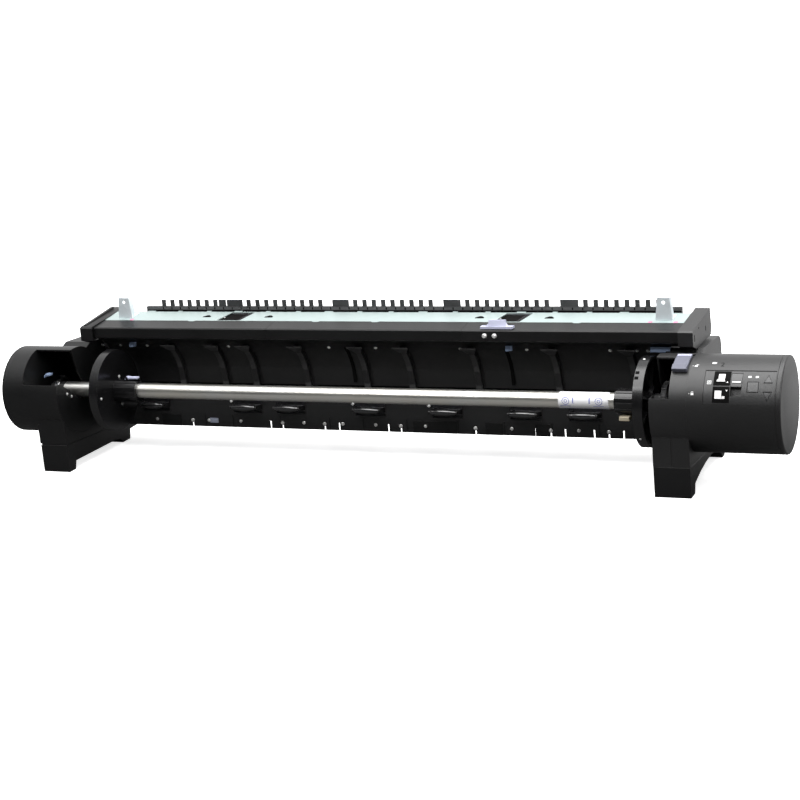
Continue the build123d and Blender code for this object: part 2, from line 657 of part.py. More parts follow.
def cradle(x0, x1):
    """Pedestal with an open seat for a bearing ring, its mouth along the lift direction."""
    seat = rod(CRADLE_R, x0, x1) + outline([(-38, -76), (38, -76), (CRADLE_R, 0), (-CRADLE_R, 0)], x0, x1)
    seat -= lift_slot(BEARING_R + GAP, x0 - 1, x1 + 1)
    return seat


def left_cradle():
    return cradle(L_OUT + 7, L_OUT + 13 + BEARING_T)


def right_cradle():
    x0, x1 = R_RING_X - 6 - BEARING_T, R_RING_X - 2
    y, z = idler_centre()
    return cradle(x0, x1) - rod(9, x0 - 1, x1 + 1, y, z)


# ---------------------------------------------------------------- drive
def idler_centre():
    return polar(SPOOL_MODULE * (SPOOL_TEETH + IDLER_SMALL_TEETH) / 2, LIFT_ANGLE + 180)


def pinion_centre():
    y, z = idler_centre()
    return y - DRIVE_MODULE * (IDLER_BIG_TEETH + PINION_TEETH) / 2, z


def idler_gear():
    """Compound gear: small wheel meshes with the spool, large wheel with the motor."""
    y, z = idler_centre()
    x0, big_x = R_IN + 5, R_DRUM_X + 8
    half_tooth = 180.0 / IDLER_SMALL_TEETH
    small = gear(SPOOL_MODULE, IDLER_SMALL_TEETH, x0, x0 + GEAR_W, y, z, LIFT_ANGLE + half_tooth)
    big = gear(DRIVE_MODULE, IDLER_BIG_TEETH, big_x, big_x + 8, y, z, 180.0)
    sleeve = rod(IDLER_PIN_R + 2.5, x0, big_x + 8, y, z)
    return small + big + sleeve - rod(IDLER_PIN_R + RUN, x0 - 1, big_x + 10, y, z)


def gear_bracket():
    y, z = idler_centre()
    py, pz = pinion_centre()
    x0 = R_DRUM_X + 20
    disc = rod(DRUM_R - WALL, x0, x0 + PLATE) - rod(20, x0 - 1, x0 + PLATE + 1, -20, 40)
    disc -= rod(8, x0 - 1, x0 + PLATE + 1, py, pz)
    return disc + rod(IDLER_PIN_R, R_IN + 4, x0, y, z)


def drive_motor():
    y, z = pinion_centre()
    x0 = R_DRUM_X + 20 + PLATE
    can = rod(18, x0, x0 + 52, y, z) + rod(6, x0 + 52, x0 + 56, y, z)
    return can - rod(2.5 + RUN, x0 - 1, x0 + 40, y, z)


def drive_pinion():
    y, z = pinion_centre()
    x0 = R_DRUM_X + 8
    shaft = rod(2.5, x0, R_DRUM_X + 20 + PLATE + 38, y, z)
    return shaft + gear(DRIVE_MODULE, PINION_TEETH, x0, x0 + 8, y, z, 180.0 / PINION_TEETH)


def circuit_board():
    return block(PANEL_X[0] + 4, PANEL_X[1] - 8, -62, 36, 22, 23.6)


# ---------------------------------------------------------------- lock ring
def lock_ring():
    """Cover of the slot beside the gear, turning on a collar of the drum, with a hook inside."""
    r1 = DRUM_R - WALL - GAP
    x0, x1 = R_RING_X + 0.4, R_DRUM_X - 0.4
    ring = arc_band(r1, r1 - WALL, x0, x1, 50, 165)
    ring += arc_band(r1 - 1, COLLAR_R + RUN, x1 - 4, x1, 50, 165)
    inner, outer = CRADLE_R + 1, CRADLE_R + 8
    hook = arc_band(outer, inner, R_RING_X - 15, R_DRUM_X - 21, 46, 82)
    hook += arc_band(r1 - 1, inner, R_DRUM_X - 25, R_DRUM_X - 21, 56, 80)
    hook += arc_band(r1 - 1, COLLAR_R + 1, R_DRUM_X - 25, x1, 56, 80)
    return ring + hook


def lock_grip():
    r0 = DRUM_R - WALL - GAP
    x0, x1 = R_RING_X + 1.5, R_RING_X + 29
    grip = arc_band(r0 + 6, r0, x0, x1, 92, 125)
    return grip + arc_band(r0 + 10, r0, x0, x1, 118, 126)


# ---------------------------------------------------------------- control panel
def key_prism(x, degrees, size, gap=0.0):
    return radial(x, degrees) * Pos(0, 0, DRUM_R) * Box(size[0] + 2 * gap, size[1] + 2 * gap, 40)


def arrow_prism(x, degrees, point_up, gap=0.0):
    s = ARROW_SIZE / 2 + gap * 1.6
    tip = s if point_up else -s
    face = make_face(Polyline((-s, -tip), (s, -tip), (0, tip), close=True))
    return radial(x, degrees) * Pos(0, 0, DRUM_R - 20) * extrude(face, amount=40, dir=(0, 0, 1))


def panel_band():
    r1 = DRUM_R - PANEL_SINK
    return arc_band(r1, r1 - WALL, PANEL_X[0], PANEL_X[1], *PANEL_ANGLE)


def key_band():
    r1 = DRUM_R - PANEL_SINK
    return arc_band(r1, r1 - 6.0, PANEL_X[0], PANEL_X[1], *PANEL_ANGLE)


def control_panel():
    g = BUTTON_GAP
    panel = panel_band() - key_prism(START_X, START_ANGLE, (START_SIZE, START_SIZE), g)
    panel -= arrow_prism(ARROW_X, ARROW_UP_ANGLE, True, g)
    panel -= arrow_prism(ARROW_X, ARROW_DOWN_ANGLE, False, g)
    return panel - key_prism(SWITCH_X, SWITCH_ANGLE, SWITCH_SLOT)


def start_button():
    return key_band() & key_prism(START_X, START_ANGLE, (START_SIZE, START_SIZE))


def feed_up_button():
    return key_band() & arrow_prism(ARROW_X, ARROW_UP_ANGLE, True)


def feed_down_button():
    return key_band() & arrow_prism(ARROW_X, ARROW_DOWN_ANGLE, False)


def direction_switch():
    """Sliding knob at the upper end of its slot, with a raised bar across it."""
    up = (SWITCH_SLOT[1] - SWITCH_KNOB[1]) / 2 - 1.0
    frame = radial(SWITCH_X, SWITCH_ANGLE) * Pos(0, up, DRUM_R - PANEL_SINK)
    knob = frame * Pos(0, 0, -4) * Box(SWITCH_KNOB[0], SWITCH_KNOB[1], 10)
    knob = knob & rod(DRUM_R - PANEL_SINK, PANEL_X[0], PANEL_X[1])
    bar = frame * Pos(0, -4.4, -1) * Box(SWITCH_KNOB[0] - 3, 2.4, 4)
    return knob + (bar & rod(DRUM_R - 0.2, PANEL_X[0], PANEL_X[1]))


# ---------------------------------------------------------------- feed rollers
def feed_roller():
    x0, x1 = L_IN + 6.5, R_IN - WALL - 1
    roller = rod(FEED_SHAFT_R, x0, x1, FEED_Y, FEED_Z)
    roller += rod(FEED_R, L_FLANGE, R_FLANGE, FEED_Y, FEED_Z)
    wheel_x = L_IN + 36
    return roller + gear(SPOOL_MODULE, FEED_TEETH, wheel_x, wheel_x + 8, FEED_Y, FEED_Z, 180.0)


def pinch_rollers():
    y = NIP_Y - GAP - PINCH_R
    bar = rod(3.0, L_FLANGE - 12, R_FLANGE + 12, y, FEED_Z)
    for i in range(10):
        middle = L_FLANGE + 56 + i * (MEDIA_WIDTH - 112) / 9
        bar += rod(PINCH_R, middle - 40, middle + 40, y, FEED_Z)
    return bar


def pinch_bearings():
    y = NIP_Y - GAP - PINCH_R
    blocks = []
    for x in (L_FLANGE - 10, R_FLANGE + 4):
        body = block(x, x + 6, y - 9, y + 6, FEED_Z - 6, FEED_Z + 12)
        blocks.append(body - rod(3.0 + RUN, x - 1, x + 7, y, FEED_Z))
    return Compound(children=blocks)


def feed_pinion_centre():
    return FEED_Y - SPOOL_MODULE * (FEED_TEETH + FEED_PINION_TEETH) / 2, FEED_Z


def feed_pinion():
    y, z = feed_pinion_centre()
    x0 = L_IN + 36
    shaft = rod(2.0, L_IN + 14, x0 + 8, y, z)
    return shaft + gear(SPOOL_MODULE, FEED_PINION_TEETH, x0, x0 + 8, y, z, 180.0 / FEED_PINION_TEETH)


def feed_motor():
    y, z = feed_pinion_centre()
    x0 = L_IN + 7 + PLATE
    return rod(13, x0, x0 + 22, y, z) - rod(2.0 + RUN, x0 + 3, x0 + 23, y, z)


# ---------------------------------------------------------------- trim and fasteners
def clip_lever():
    """Small release lever on the front edge of the top, rolled round its pin at the rear."""
    y, z = lever_axis()
    half = LEVER_T / 2
    low = z - half
    base = block(LEVER_X - LEVER_L / 2, LEVER_X + LEVER_L / 2, y - 12, y, low, z + half)
    base += rod(half, LEVER_X - LEVER_L / 2, LEVER_X + LEVER_L / 2, y, z)
    hump = [(y - 10, z + half - 0.5), (y, z + half - 0.5), (y - 1, low + 16), (y - 6, low + 16)]
    return base + outline(hump, LEVER_X + LEVER_HUMP[0], LEVER_X + LEVER_HUMP[1])


def lever_axis():
    y = BEAM_FRONT_Y + 14
    return y, top_z(y + LEVER_T / 2) + GAP + LEVER_T / 2


def screw_head(x, y, z, degrees, radius=SCREW_R, height=SCREW_H):
    """Round head whose axis leans at an angle in the YZ plane, pointing out of its face."""
    return Pos(x, y, z) * Rot(degrees - 90.0, 0, 0) * Pos(0, 0, height / 2) * Cylinder(radius, height)


def fasteners():
    heads = []
    screw_angle = GUIDE_TOP_ANGLE - 1.5 * guide_turn()
    flat_r = GUIDE_R * math.cos(math.radians(guide_turn() / 2))
    for x in GUIDE_SCREW_X:
        heads.append(screw_head(x, *polar(flat_r, screw_angle), screw_angle + 180.0))
    for x in LOWER_SCREW_X:
        heads.append(screw_head(x, LOWER_Y, LOWER_BOTTOM_Z + 14, 180.0))
    for x in KEYHOLE_X:
        heads.append(screw_head(x, LOWER_Y, LOWER_BOTTOM_Z + 13, 180.0))
    for x in LEVER_SCREW:
        heads.append(screw_head(LEVER_X + x, BEAM_FRONT_Y, BEAM_TOP_Z - 10.5, 180.0, 4.6, 5.0))
    return Compound(children=heads)


NODES = {
    "left_drum_cover": left_drum_cover,
    "left_end_cap": lambda: end_cap(L_END, L_END + CAP_T),
    "left_leg_cover": left_leg_cover,
    "left_foot": left_foot,
    "left_cradle": left_cradle,
    "right_column_cover": right_column_cover,
    "right_drum_cover": right_drum_cover,
    "right_end_cap": lambda: end_cap(R_CAP_X, R_END),
    "right_leg_cover": right_leg_cover,
    "right_foot": right_foot,
    "right_cradle": right_cradle,
    "left_side_plate": left_side_plate,
    "right_side_plate": right_side_plate,
    "lower_stay": lower_stay,
    "rear_cover": rear_cover,
    "beam_cover_left": lambda: beam_cover(-TOP_HALF + END_COVER, BEAM_SEAMS[0]),
    "beam_cover_middle": lambda: beam_cover(BEAM_SEAMS[0], BEAM_SEAMS[1]),
    "beam_cover_right": lambda: beam_cover(BEAM_SEAMS[1], TOP_HALF - END_COVER),
    "left_top_cover": left_top_cover,
    "right_top_cover": right_top_cover,
    "top_plate": top_plate,
    "media_sensors": media_sensors,
    "comb_guide": comb_guide,
    "left_hanger": lambda: hanger_bracket(HANGER_X[0]),
    "right_hanger": lambda: hanger_bracket(HANGER_X[1]),
    "curved_guide": curved_guide,
    "lower_guide": lower_guide,
    "roller_arms": roller_arms,
    "shaft_bearings": shaft_bearings,
    "spool_shaft": spool_shaft,
    "left_flange": left_flange,
    "flange_lever": flange_lever,
    "right_flange": right_flange,
    "spool_gear": spool_gear,
    "idler_gear": idler_gear,
    "drive_pinion": drive_pinion,
    "gear_bracket": gear_bracket,
    "drive_motor": drive_motor,
    "circuit_board": circuit_board,
    "lock_ring": lock_ring,
    "lock_grip": lock_grip,
    "control_panel": control_panel,
    "start_button": start_button,
    "feed_up_button": feed_up_button,
    "feed_down_button": feed_down_button,
    "direction_switch": direction_switch,
    "feed_roller": feed_roller,
    "pinch_rollers": pinch_rollers,
    "pinch_bearings": pinch_bearings,
    "feed_motor": feed_motor,
    "feed_pinion": feed_pinion,
    "clip_lever": clip_lever,
    "fasteners": fasteners,
}

# Stand the unit on Z = 0 with the middle of its outline at X = 0, Y = 0.
MOVE = Pos(-(L_END + R_END) / 2, -(REAR_Y - DRUM_R) / 2, GROUND_DROP)

os.makedirs("parts", exist_ok=True)
for name, make in NODES.items():
    export_step(MOVE * make(), f"parts/{name}.step")
for number, x in enumerate(ROLLER_X, start=1):
    export_step(MOVE * guide_roller(x), f"parts/guide_roller_{number}.step")
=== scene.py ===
import json
import math

import bmesh
import bpy
from mathutils import Matrix, Vector

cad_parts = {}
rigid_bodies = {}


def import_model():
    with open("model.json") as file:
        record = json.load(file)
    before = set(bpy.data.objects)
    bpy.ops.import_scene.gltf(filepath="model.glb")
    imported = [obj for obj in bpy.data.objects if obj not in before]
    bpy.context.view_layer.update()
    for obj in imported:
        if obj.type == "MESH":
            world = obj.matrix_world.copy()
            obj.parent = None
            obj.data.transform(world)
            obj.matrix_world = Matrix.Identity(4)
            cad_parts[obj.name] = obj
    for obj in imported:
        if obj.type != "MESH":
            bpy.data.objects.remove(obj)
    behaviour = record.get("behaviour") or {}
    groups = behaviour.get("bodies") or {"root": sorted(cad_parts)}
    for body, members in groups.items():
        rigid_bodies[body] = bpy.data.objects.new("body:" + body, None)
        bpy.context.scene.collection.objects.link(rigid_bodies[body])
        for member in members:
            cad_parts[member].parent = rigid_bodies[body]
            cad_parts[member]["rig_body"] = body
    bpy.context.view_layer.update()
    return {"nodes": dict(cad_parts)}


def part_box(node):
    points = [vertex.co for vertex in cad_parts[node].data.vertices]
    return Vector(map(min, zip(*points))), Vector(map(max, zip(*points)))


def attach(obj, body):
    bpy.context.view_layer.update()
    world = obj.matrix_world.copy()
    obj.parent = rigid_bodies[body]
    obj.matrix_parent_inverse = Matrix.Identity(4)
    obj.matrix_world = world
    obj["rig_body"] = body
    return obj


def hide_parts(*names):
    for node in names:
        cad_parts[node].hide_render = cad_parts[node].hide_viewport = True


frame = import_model()

# Setting out: every piece is drawn in millimetres about the roll's own axis, as the unit is
# built on the bench, with x along the roll from midway between the flanges, y to the back and
# z up.
MM = 0.001
shaft_low, shaft_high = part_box("spool_shaft")
flange_left, flange_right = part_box("left_flange"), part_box("right_flange")
ORIGIN = Vector((
    (flange_left[0].x + flange_right[1].x) / 2,
    (shaft_low.y + shaft_high.y) / 2,
    (shaft_low.z + shaft_high.z) / 2,
))


def place(x, y, z):
    """A point given from the roll's axis in millimetres, in the frame's metres."""
    return ORIGIN + Vector((x, y, z)) * MM


def span(node):
    """Lowest and highest corner of a CAD node, in millimetres from the roll's axis."""
    low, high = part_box(node)
    return (low - ORIGIN) / MM, (high - ORIGIN) / MM


# Camera: a long lens above eye height to the right of the unit, on a tripod that isn't level.
CAMERA_SPOT = (1457.0, -3154.3, 901.1)
CAMERA_TURNS = (23.694, 14.782, -5.078)
camera_data = bpy.data.cameras.new("camera")
camera_data.lens = 82.67
camera_data.sensor_width = 36.0
camera_data.clip_end = 500.0
camera = bpy.data.objects.new("camera", camera_data)
bpy.context.scene.collection.objects.link(camera)
yaw, pitch, roll = (math.radians(degrees) for degrees in CAMERA_TURNS)
forward = Vector((-math.sin(yaw) * math.cos(pitch), math.cos(yaw) * math.cos(pitch), -math.sin(pitch)))
right = Vector((math.cos(yaw), math.sin(yaw), 0.0))
up = right.cross(forward)
right_rolled = math.cos(roll) * right + math.sin(roll) * up
up_rolled = math.cos(roll) * up - math.sin(roll) * right
turn = Matrix((right_rolled, up_rolled, -forward)).transposed()
camera.matrix_world = Matrix.Translation(place(*CAMERA_SPOT)) @ turn.to_4x4()
bpy.context.scene.camera = camera


# Studio: a wide pale floor, a bright cyclorama behind the unit and a dim room in front of it,
# with a long soft box overhead, a small one from the right and a strip light in front.
def seen_and_lighting(tree, seen, lighting, output):
    """Shows one shader straight to the camera and lets the other one light the unit."""
    ray = tree.nodes.new("ShaderNodeLightPath")
    mixer = tree.nodes.new("ShaderNodeMixShader")
    tree.links.new(ray.outputs["Is Camera Ray"], mixer.inputs["Fac"])
    tree.links.new(lighting, mixer.inputs[1])
    tree.links.new(seen, mixer.inputs[2])
    tree.links.new(mixer.outputs["Shader"], tree.nodes[output].inputs["Surface"])


FLOOR_HALF = 120.0
CYCLORAMA_Y = (0.1, 0.9)
CYCLORAMA_GLOW = (0.0, 0.9)
bm = bmesh.new()
bmesh.ops.create_grid(bm, x_segments=1, y_segments=1, size=FLOOR_HALF)
floor_mesh = bpy.data.meshes.new("floor")
bm.to_mesh(floor_mesh)
bm.free()
floor = bpy.data.objects.new("floor", floor_mesh)
bpy.context.scene.collection.objects.link(floor)
floor_paint = bpy.data.materials.new("floor_paint")
floor_paint.use_nodes = True
tree = floor_paint.node_tree
shader = tree.nodes["Principled BSDF"]
shader.inputs["Base Color"].default_value = (0.9, 0.9, 0.9, 1.0)
shader.inputs["Roughness"].default_value = 0.9
shader.inputs["Specular IOR Level"].default_value = 0.0
shader.inputs["Emission Color"].default_value = (1.0, 1.0, 1.0, 1.0)
shader.inputs["Emission Strength"].default_value = 0.7
dim_bounce = tree.nodes.new("ShaderNodeBsdfPrincipled")
dim_bounce.inputs["Base Color"].default_value = (0.1, 0.1, 0.1, 1.0)
dim_bounce.inputs["Roughness"].default_value = 1.0
dim_bounce.inputs["Specular IOR Level"].default_value = 0.0
dim_bounce.inputs["Emission Color"].default_value = (1.0, 1.0, 1.0, 1.0)
where = tree.nodes.new("ShaderNodeTexCoord")
parts = tree.nodes.new("ShaderNodeSeparateXYZ")
lit_floor = tree.nodes.new("ShaderNodeMapRange")
lit_floor.inputs["From Min"].default_value, lit_floor.inputs["From Max"].default_value = CYCLORAMA_Y
lit_floor.inputs["To Min"].default_value, lit_floor.inputs["To Max"].default_value = CYCLORAMA_GLOW
tree.links.new(where.outputs["Object"], parts.inputs["Vector"])
tree.links.new(parts.outputs["Y"], lit_floor.inputs["Value"])
tree.links.new(lit_floor.outputs["Result"], dim_bounce.inputs["Emission Strength"])
seen_and_lighting(tree, shader.outputs["BSDF"], dim_bounce.outputs["BSDF"], "Material Output")
floor_mesh.materials.append(floor_paint)

BACK_AND_UP = (0.0, 0.86, 0.5)
ROOM_TURN = (-0.75, 0.85)
ROOM_GLOW = (0.03, 1.25)
studio = bpy.data.worlds.new("studio")
bpy.context.scene.world = studio
studio.use_nodes = True
tree = studio.node_tree
room = tree.nodes["Background"]
way = tree.nodes.new("ShaderNodeTexCoord")
back_and_up = tree.nodes.new("ShaderNodeVectorMath")
back_and_up.operation = "DOT_PRODUCT"
back_and_up.inputs[1].default_value = BACK_AND_UP
fade = tree.nodes.new("ShaderNodeMapRange")
fade.interpolation_type = "SMOOTHSTEP"
fade.inputs["From Min"].default_value, fade.inputs["From Max"].default_value = ROOM_TURN
fade.inputs["To Min"].default_value, fade.inputs["To Max"].default_value = ROOM_GLOW
white = tree.nodes.new("ShaderNodeBackground")
for sheet in (room, white):
    sheet.inputs["Color"].default_value = (1.0, 1.0, 1.0, 1.0)
tree.links.new(way.outputs["Generated"], back_and_up.inputs[0])
tree.links.new(back_and_up.outputs["Value"], fade.inputs["Value"])
tree.links.new(fade.outputs["Result"], room.inputs["Strength"])
seen_and_lighting(tree, white.outputs["Background"], room.outputs["Background"], "World Output")
bpy.context.scene.view_settings.view_transform = "Standard"


def soft_box(name, spot, aim, size, watts):
    """A rectangular diffused lamp at one point of the room, turned towards another."""
    data = bpy.data.lights.new(name, "AREA")
    data.shape = "RECTANGLE"
    data.size, data.size_y = size
    data.energy = watts
    lamp = bpy.data.objects.new(name, data)
    bpy.context.scene.collection.objects.link(lamp)
    way = Vector(aim) - Vector(spot)
    lamp.matrix_world = Matrix.Translation(spot) @ way.to_track_quat("-Z", "Y").to_matrix().to_4x4()


soft_box("overhead", (0.2, -0.2, 2.9), (0.0, 0.0, 0.2), (4.5, 2.0), 170.0)
soft_box("right_side", (3.4, -1.0, 1.9), (0.4, 0.0, 0.2), (1.4, 1.4), 40.0)
soft_box("front_strip", (0.1, -2.1, 2.4), (0.0, 0.0, 0.1), (3.6, 0.45), 42.0)


# Feet: two black moulded shoes, one under each housing, that carry the unit on the floor.
# The plastic has a fine spark-eroded texture, and its edges are broken by the mould.
def moulded(name, colour, rough, spec=0.35, grain=1100.0, depth=0.35, mottle=0.25):
    """Injection-moulded plastic: a fine eroded texture over slightly uneven tone and sheen."""
    paint = bpy.data.materials.new(name)
    paint.use_nodes = True
    tree = paint.node_tree
    shader = tree.nodes["Principled BSDF"]
    shader.inputs["Specular IOR Level"].default_value = spec
    where = tree.nodes.new("ShaderNodeTexCoord")
    cloud = tree.nodes.new("ShaderNodeTexNoise")
    cloud.inputs["Scale"].default_value = 11.0
    cloud.inputs["Detail"].default_value = 5.0
    tone = tree.nodes.new("ShaderNodeValToRGB")
    dark, light = tone.color_ramp.elements
    dark.position, light.position = 0.3, 0.7
    dark.color = (*(c * (1.0 - mottle) for c in colour), 1.0)
    light.color = (*(c * (1.0 + mottle) for c in colour), 1.0)
    grit = tree.nodes.new("ShaderNodeTexNoise")
    grit.inputs["Scale"].default_value = grain
    grit.inputs["Detail"].default_value = 2.0
    shine = tree.nodes.new("ShaderNodeMapRange")
    shine.inputs["To Min"].default_value = rough - 0.05
    shine.inputs["To Max"].default_value = rough + 0.07
    bump = tree.nodes.new("ShaderNodeBump")
    bump.inputs["Strength"].default_value = depth
    bump.inputs["Distance"].default_value = 0.0002
    for source in (cloud, grit):
        tree.links.new(where.outputs["Object"], source.inputs["Vector"])
    tree.links.new(cloud.outputs["Fac"], tone.inputs["Fac"])
    tree.links.new(tone.outputs["Color"], shader.inputs["Base Color"])
    tree.links.new(cloud.outputs["Fac"], shine.inputs["Value"])
    tree.links.new(shine.outputs["Result"], shader.inputs["Roughness"])
    tree.links.new(grit.outputs["Fac"], bump.inputs["Height"])
    tree.links.new(bump.outputs["Normal"], shader.inputs["Normal"])
    return paint


def finish(bm, name, body, paint, edge=0.0, smooth=32.0, stands_for=()):
    """Turns a mesh that is already in the frame's metres into a piece that rides on a body."""
    mesh = bpy.data.meshes.new(name)
    bm.to_mesh(mesh)
    bm.free()
    mesh.materials.append(paint)
    mesh.shade_smooth()
    mesh.set_sharp_from_angle(angle=math.radians(smooth))
    piece = bpy.data.objects.new(name, mesh)
    bpy.context.scene.collection.objects.link(piece)
    if edge:
        rounding = piece.modifiers.new("broken_edges", "BEVEL")
        rounding.width = edge * MM
        rounding.segments = 2
        rounding.limit_method = "ANGLE"
        rounding.angle_limit = math.radians(38.0)
        rounding.harden_normals = True
    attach(piece, body)
    if stands_for:
        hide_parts(*stands_for)
    return piece


def moulding(node, paint, edge=0.6, smooth=32.0):
    """A copy of a CAD node with merged faces and broken edges, which stands for it."""
    source = frame["nodes"][node]
    bm = bmesh.new()
    bm.from_mesh(source.data)
    bmesh.ops.remove_doubles(bm, verts=bm.verts, dist=2e-6)
    flat = math.radians(0.6)
    bmesh.ops.dissolve_limit(bm, angle_limit=flat, verts=bm.verts, edges=bm.edges)
    return finish(bm, node + "_skin", source["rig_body"], paint, edge, smooth, (node,))


black_abs = moulded("black_abs", (0.0042, 0.0042, 0.0045), 0.44, spec=0.36)
moulding("left_foot", black_abs, edge=1.2)
moulding("right_foot", black_abs, edge=1.2)


# Frame: folded sheet-steel side plates and a channel between them, zinc plated and left
# bare, with the rear cover screwed over them.
def plated(name, colour, rough, metallic=1.0, spangle=0.06):
    """Zinc-plated sheet: a cool metal with faint crystal spangle and rolling lines along x."""
    paint = bpy.data.materials.new(name)
    paint.use_nodes = True
    tree = paint.node_tree
    shader = tree.nodes["Principled BSDF"]
    shader.inputs["Metallic"].default_value = metallic
    where = tree.nodes.new("ShaderNodeTexCoord")
    stretch = tree.nodes.new("ShaderNodeMapping")
    stretch.inputs["Scale"].default_value = (6.0, 420.0, 420.0)
    lines = tree.nodes.new("ShaderNodeTexNoise")
    lines.inputs["Scale"].default_value = 1.0
    lines.inputs["Detail"].default_value = 3.0
    crystals = tree.nodes.new("ShaderNodeTexVoronoi")
    crystals.inputs["Scale"].default_value = 90.0
    tone = tree.nodes.new("ShaderNodeMixRGB")
    tone.inputs["Color1"].default_value = (*(c * (1.0 - spangle) for c in colour), 1.0)
    tone.inputs["Color2"].default_value = (*(min(1.0, c * (1.0 + spangle)) for c in colour), 1.0)
    shine = tree.nodes.new("ShaderNodeMapRange")
    shine.inputs["To Min"].default_value = rough - 0.08
    shine.inputs["To Max"].default_value = rough + 0.10
    bump = tree.nodes.new("ShaderNodeBump")
    bump.inputs["Strength"].default_value = 0.15
    bump.inputs["Distance"].default_value = 0.0002
    tree.links.new(where.outputs["Object"], stretch.inputs["Vector"])
    tree.links.new(stretch.outputs["Vector"], lines.inputs["Vector"])
    tree.links.new(where.outputs["Object"], crystals.inputs["Vector"])
    tree.links.new(crystals.outputs["Color"], tone.inputs["Fac"])
    tree.links.new(tone.outputs["Color"], shader.inputs["Base Color"])
    tree.links.new(lines.outputs["Fac"], shine.inputs["Value"])
    tree.links.new(shine.outputs["Result"], shader.inputs["Roughness"])
    tree.links.new(lines.outputs["Fac"], bump.inputs["Height"])
    tree.links.new(bump.outputs["Normal"], shader.inputs["Normal"])
    return paint


dark_steel = plated("dark_steel", (0.16, 0.16, 0.17), 0.45)
for node in ("left_side_plate", "right_side_plate", "lower_stay", "gear_bracket"):
    moulding(node, dark_steel, edge=0.3)
moulding("rear_cover", black_abs, edge=0.8)


# Housings: a plain left drum and a right drum in three lengths, each on a hollow leg. The
# right-hand mouldings are a little paler, with a soft sheen from a finer tool texture.
charcoal_abs = moulded("charcoal_abs", (0.0085, 0.0085, 0.0088), 0.42, spec=0.5)
moulding("left_drum_cover", black_abs, edge=0.9)
moulding("left_end_cap", black_abs, edge=0.9)
moulding("left_leg_cover", black_abs, edge=1.2)
moulding("right_column_cover", charcoal_abs, edge=0.9)
moulding("right_drum_cover", charcoal_abs, edge=0.9)
moulding("right_end_cap", charcoal_abs, edge=0.9)
moulding("right_leg_cover", charcoal_abs, edge=1.2)
moulding("left_cradle", black_abs, edge=0.6)
moulding("right_cradle", black_abs, edge=0.6)


# Curved guide: one long black moulding close behind the roll. Upright ribs carry the paper,
# each hung from a flared lug under the beam and ending in a small square foot; the lugs, feet and
# thin strips on the rib faces are drawn in a paler copy of the moulding as a painted highlight.
# Two dark slots run down it for the paper sensor's levers, drawn as black strips of painted shade.
def settle(bm):
    """Closes a piece drawn in millimetres about the roll's axis and sets it in the frame."""
    bmesh.ops.remove_doubles(bm, verts=bm.verts, dist=0.0005)
    bmesh.ops.recalc_face_normals(bm, faces=bm.faces)
    bmesh.ops.scale(bm, vec=(MM, MM, MM), verts=bm.verts)
    bmesh.ops.translate(bm, vec=ORIGIN, verts=bm.verts)


def slab(bm, corners, thickness):
    """A flat outline of 3-D corners, thickened along a vector."""
    face = bm.faces.new([bm.verts.new(corner) for corner in corners])
    grown = bmesh.ops.extrude_face_region(bm, geom=[face])["geom"]
    moved = [item for item in grown if isinstance(item, bmesh.types.BMVert)]
    bmesh.ops.translate(bm, vec=thickness, verts=moved)


def brick(bm, low, high):
    """A rectangular block between two corners."""
    size = Vector(high) - Vector(low)
    middle = (Vector(high) + Vector(low)) / 2
    cube = Matrix.Translation(middle) @ Matrix.Diagonal((*size, 1.0))
    return bmesh.ops.create_cube(bm, size=1.0, matrix=cube)["verts"]


def around(radius, degrees, x=0.0):
    """A point on a circle about the roll, counted from the back towards the top."""
    angle = math.radians(degrees)
    return Vector((x, radius * math.cos(angle), radius * math.sin(angle)))


def strip(bm, x, halves, radius, angles, rise):
    """A flat strip across the guide between two angles, thickened towards the roll."""
    (top_half, foot_half), (top, foot) = halves, angles
    corners = [around(radius, top, x - top_half), around(radius, top, x + top_half),
               around(radius, foot, x + foot_half), around(radius, foot, x - foot_half)]
    slab(bm, corners, around(-rise, (top + foot) / 2))


satin_abs = moulded("satin_abs", (0.010, 0.010, 0.0105), 0.38, spec=0.45, depth=0.2)
# A paler copy of the black moulding: painted highlight on the rib lugs, feet and faces and on the beam
# lip.
painted_highlight_abs = moulded("painted_highlight_abs", (0.032, 0.032, 0.033), 0.45, spec=0.45)
moulding("curved_guide", satin_abs, edge=0.9, smooth=10.0)
RIB_X = (-463.0, -362.0, -290.0, -172.0, -40.0, 58.0, 200.0, 364.0, 516.0)
RIB_FACE_R, RIB_HALF, RIB_FACE_HALF, RIB_FACE_T = 99.0, 6.5, 5.2, 0.35
RIB_TOP, RIB_FLATS = 56.0, 6
RIB_FLAT = 41.5 / RIB_FLATS
LUG_TOP, LUG_FOOT, LUG_HALF, LUG_FOOT_HALF, LUG_T = 57.0, 45.0, 17.0, 7.5, 2.2
FOOT_Y, FOOT_Z = (101.5, 104.5), (-13.0, 1.0)
bm = bmesh.new()
for x in RIB_X:
    strip(bm, x, (LUG_HALF, LUG_FOOT_HALF), RIB_FACE_R, (LUG_TOP, LUG_FOOT), LUG_T)
    brick(bm, (x - RIB_HALF, FOOT_Y[0], FOOT_Z[0]), (x + RIB_HALF, FOOT_Y[1], FOOT_Z[1]))
    for flat in range(2, RIB_FLATS):
        angles = RIB_TOP - RIB_FLAT * flat, RIB_TOP - RIB_FLAT * (flat + 1)
        strip(bm, x, (RIB_FACE_HALF, RIB_FACE_HALF), RIB_FACE_R, angles, RIB_FACE_T)
settle(bm)
finish(bm, "highlit_rib_lugs", "frame", painted_highlight_abs, edge=0.6)
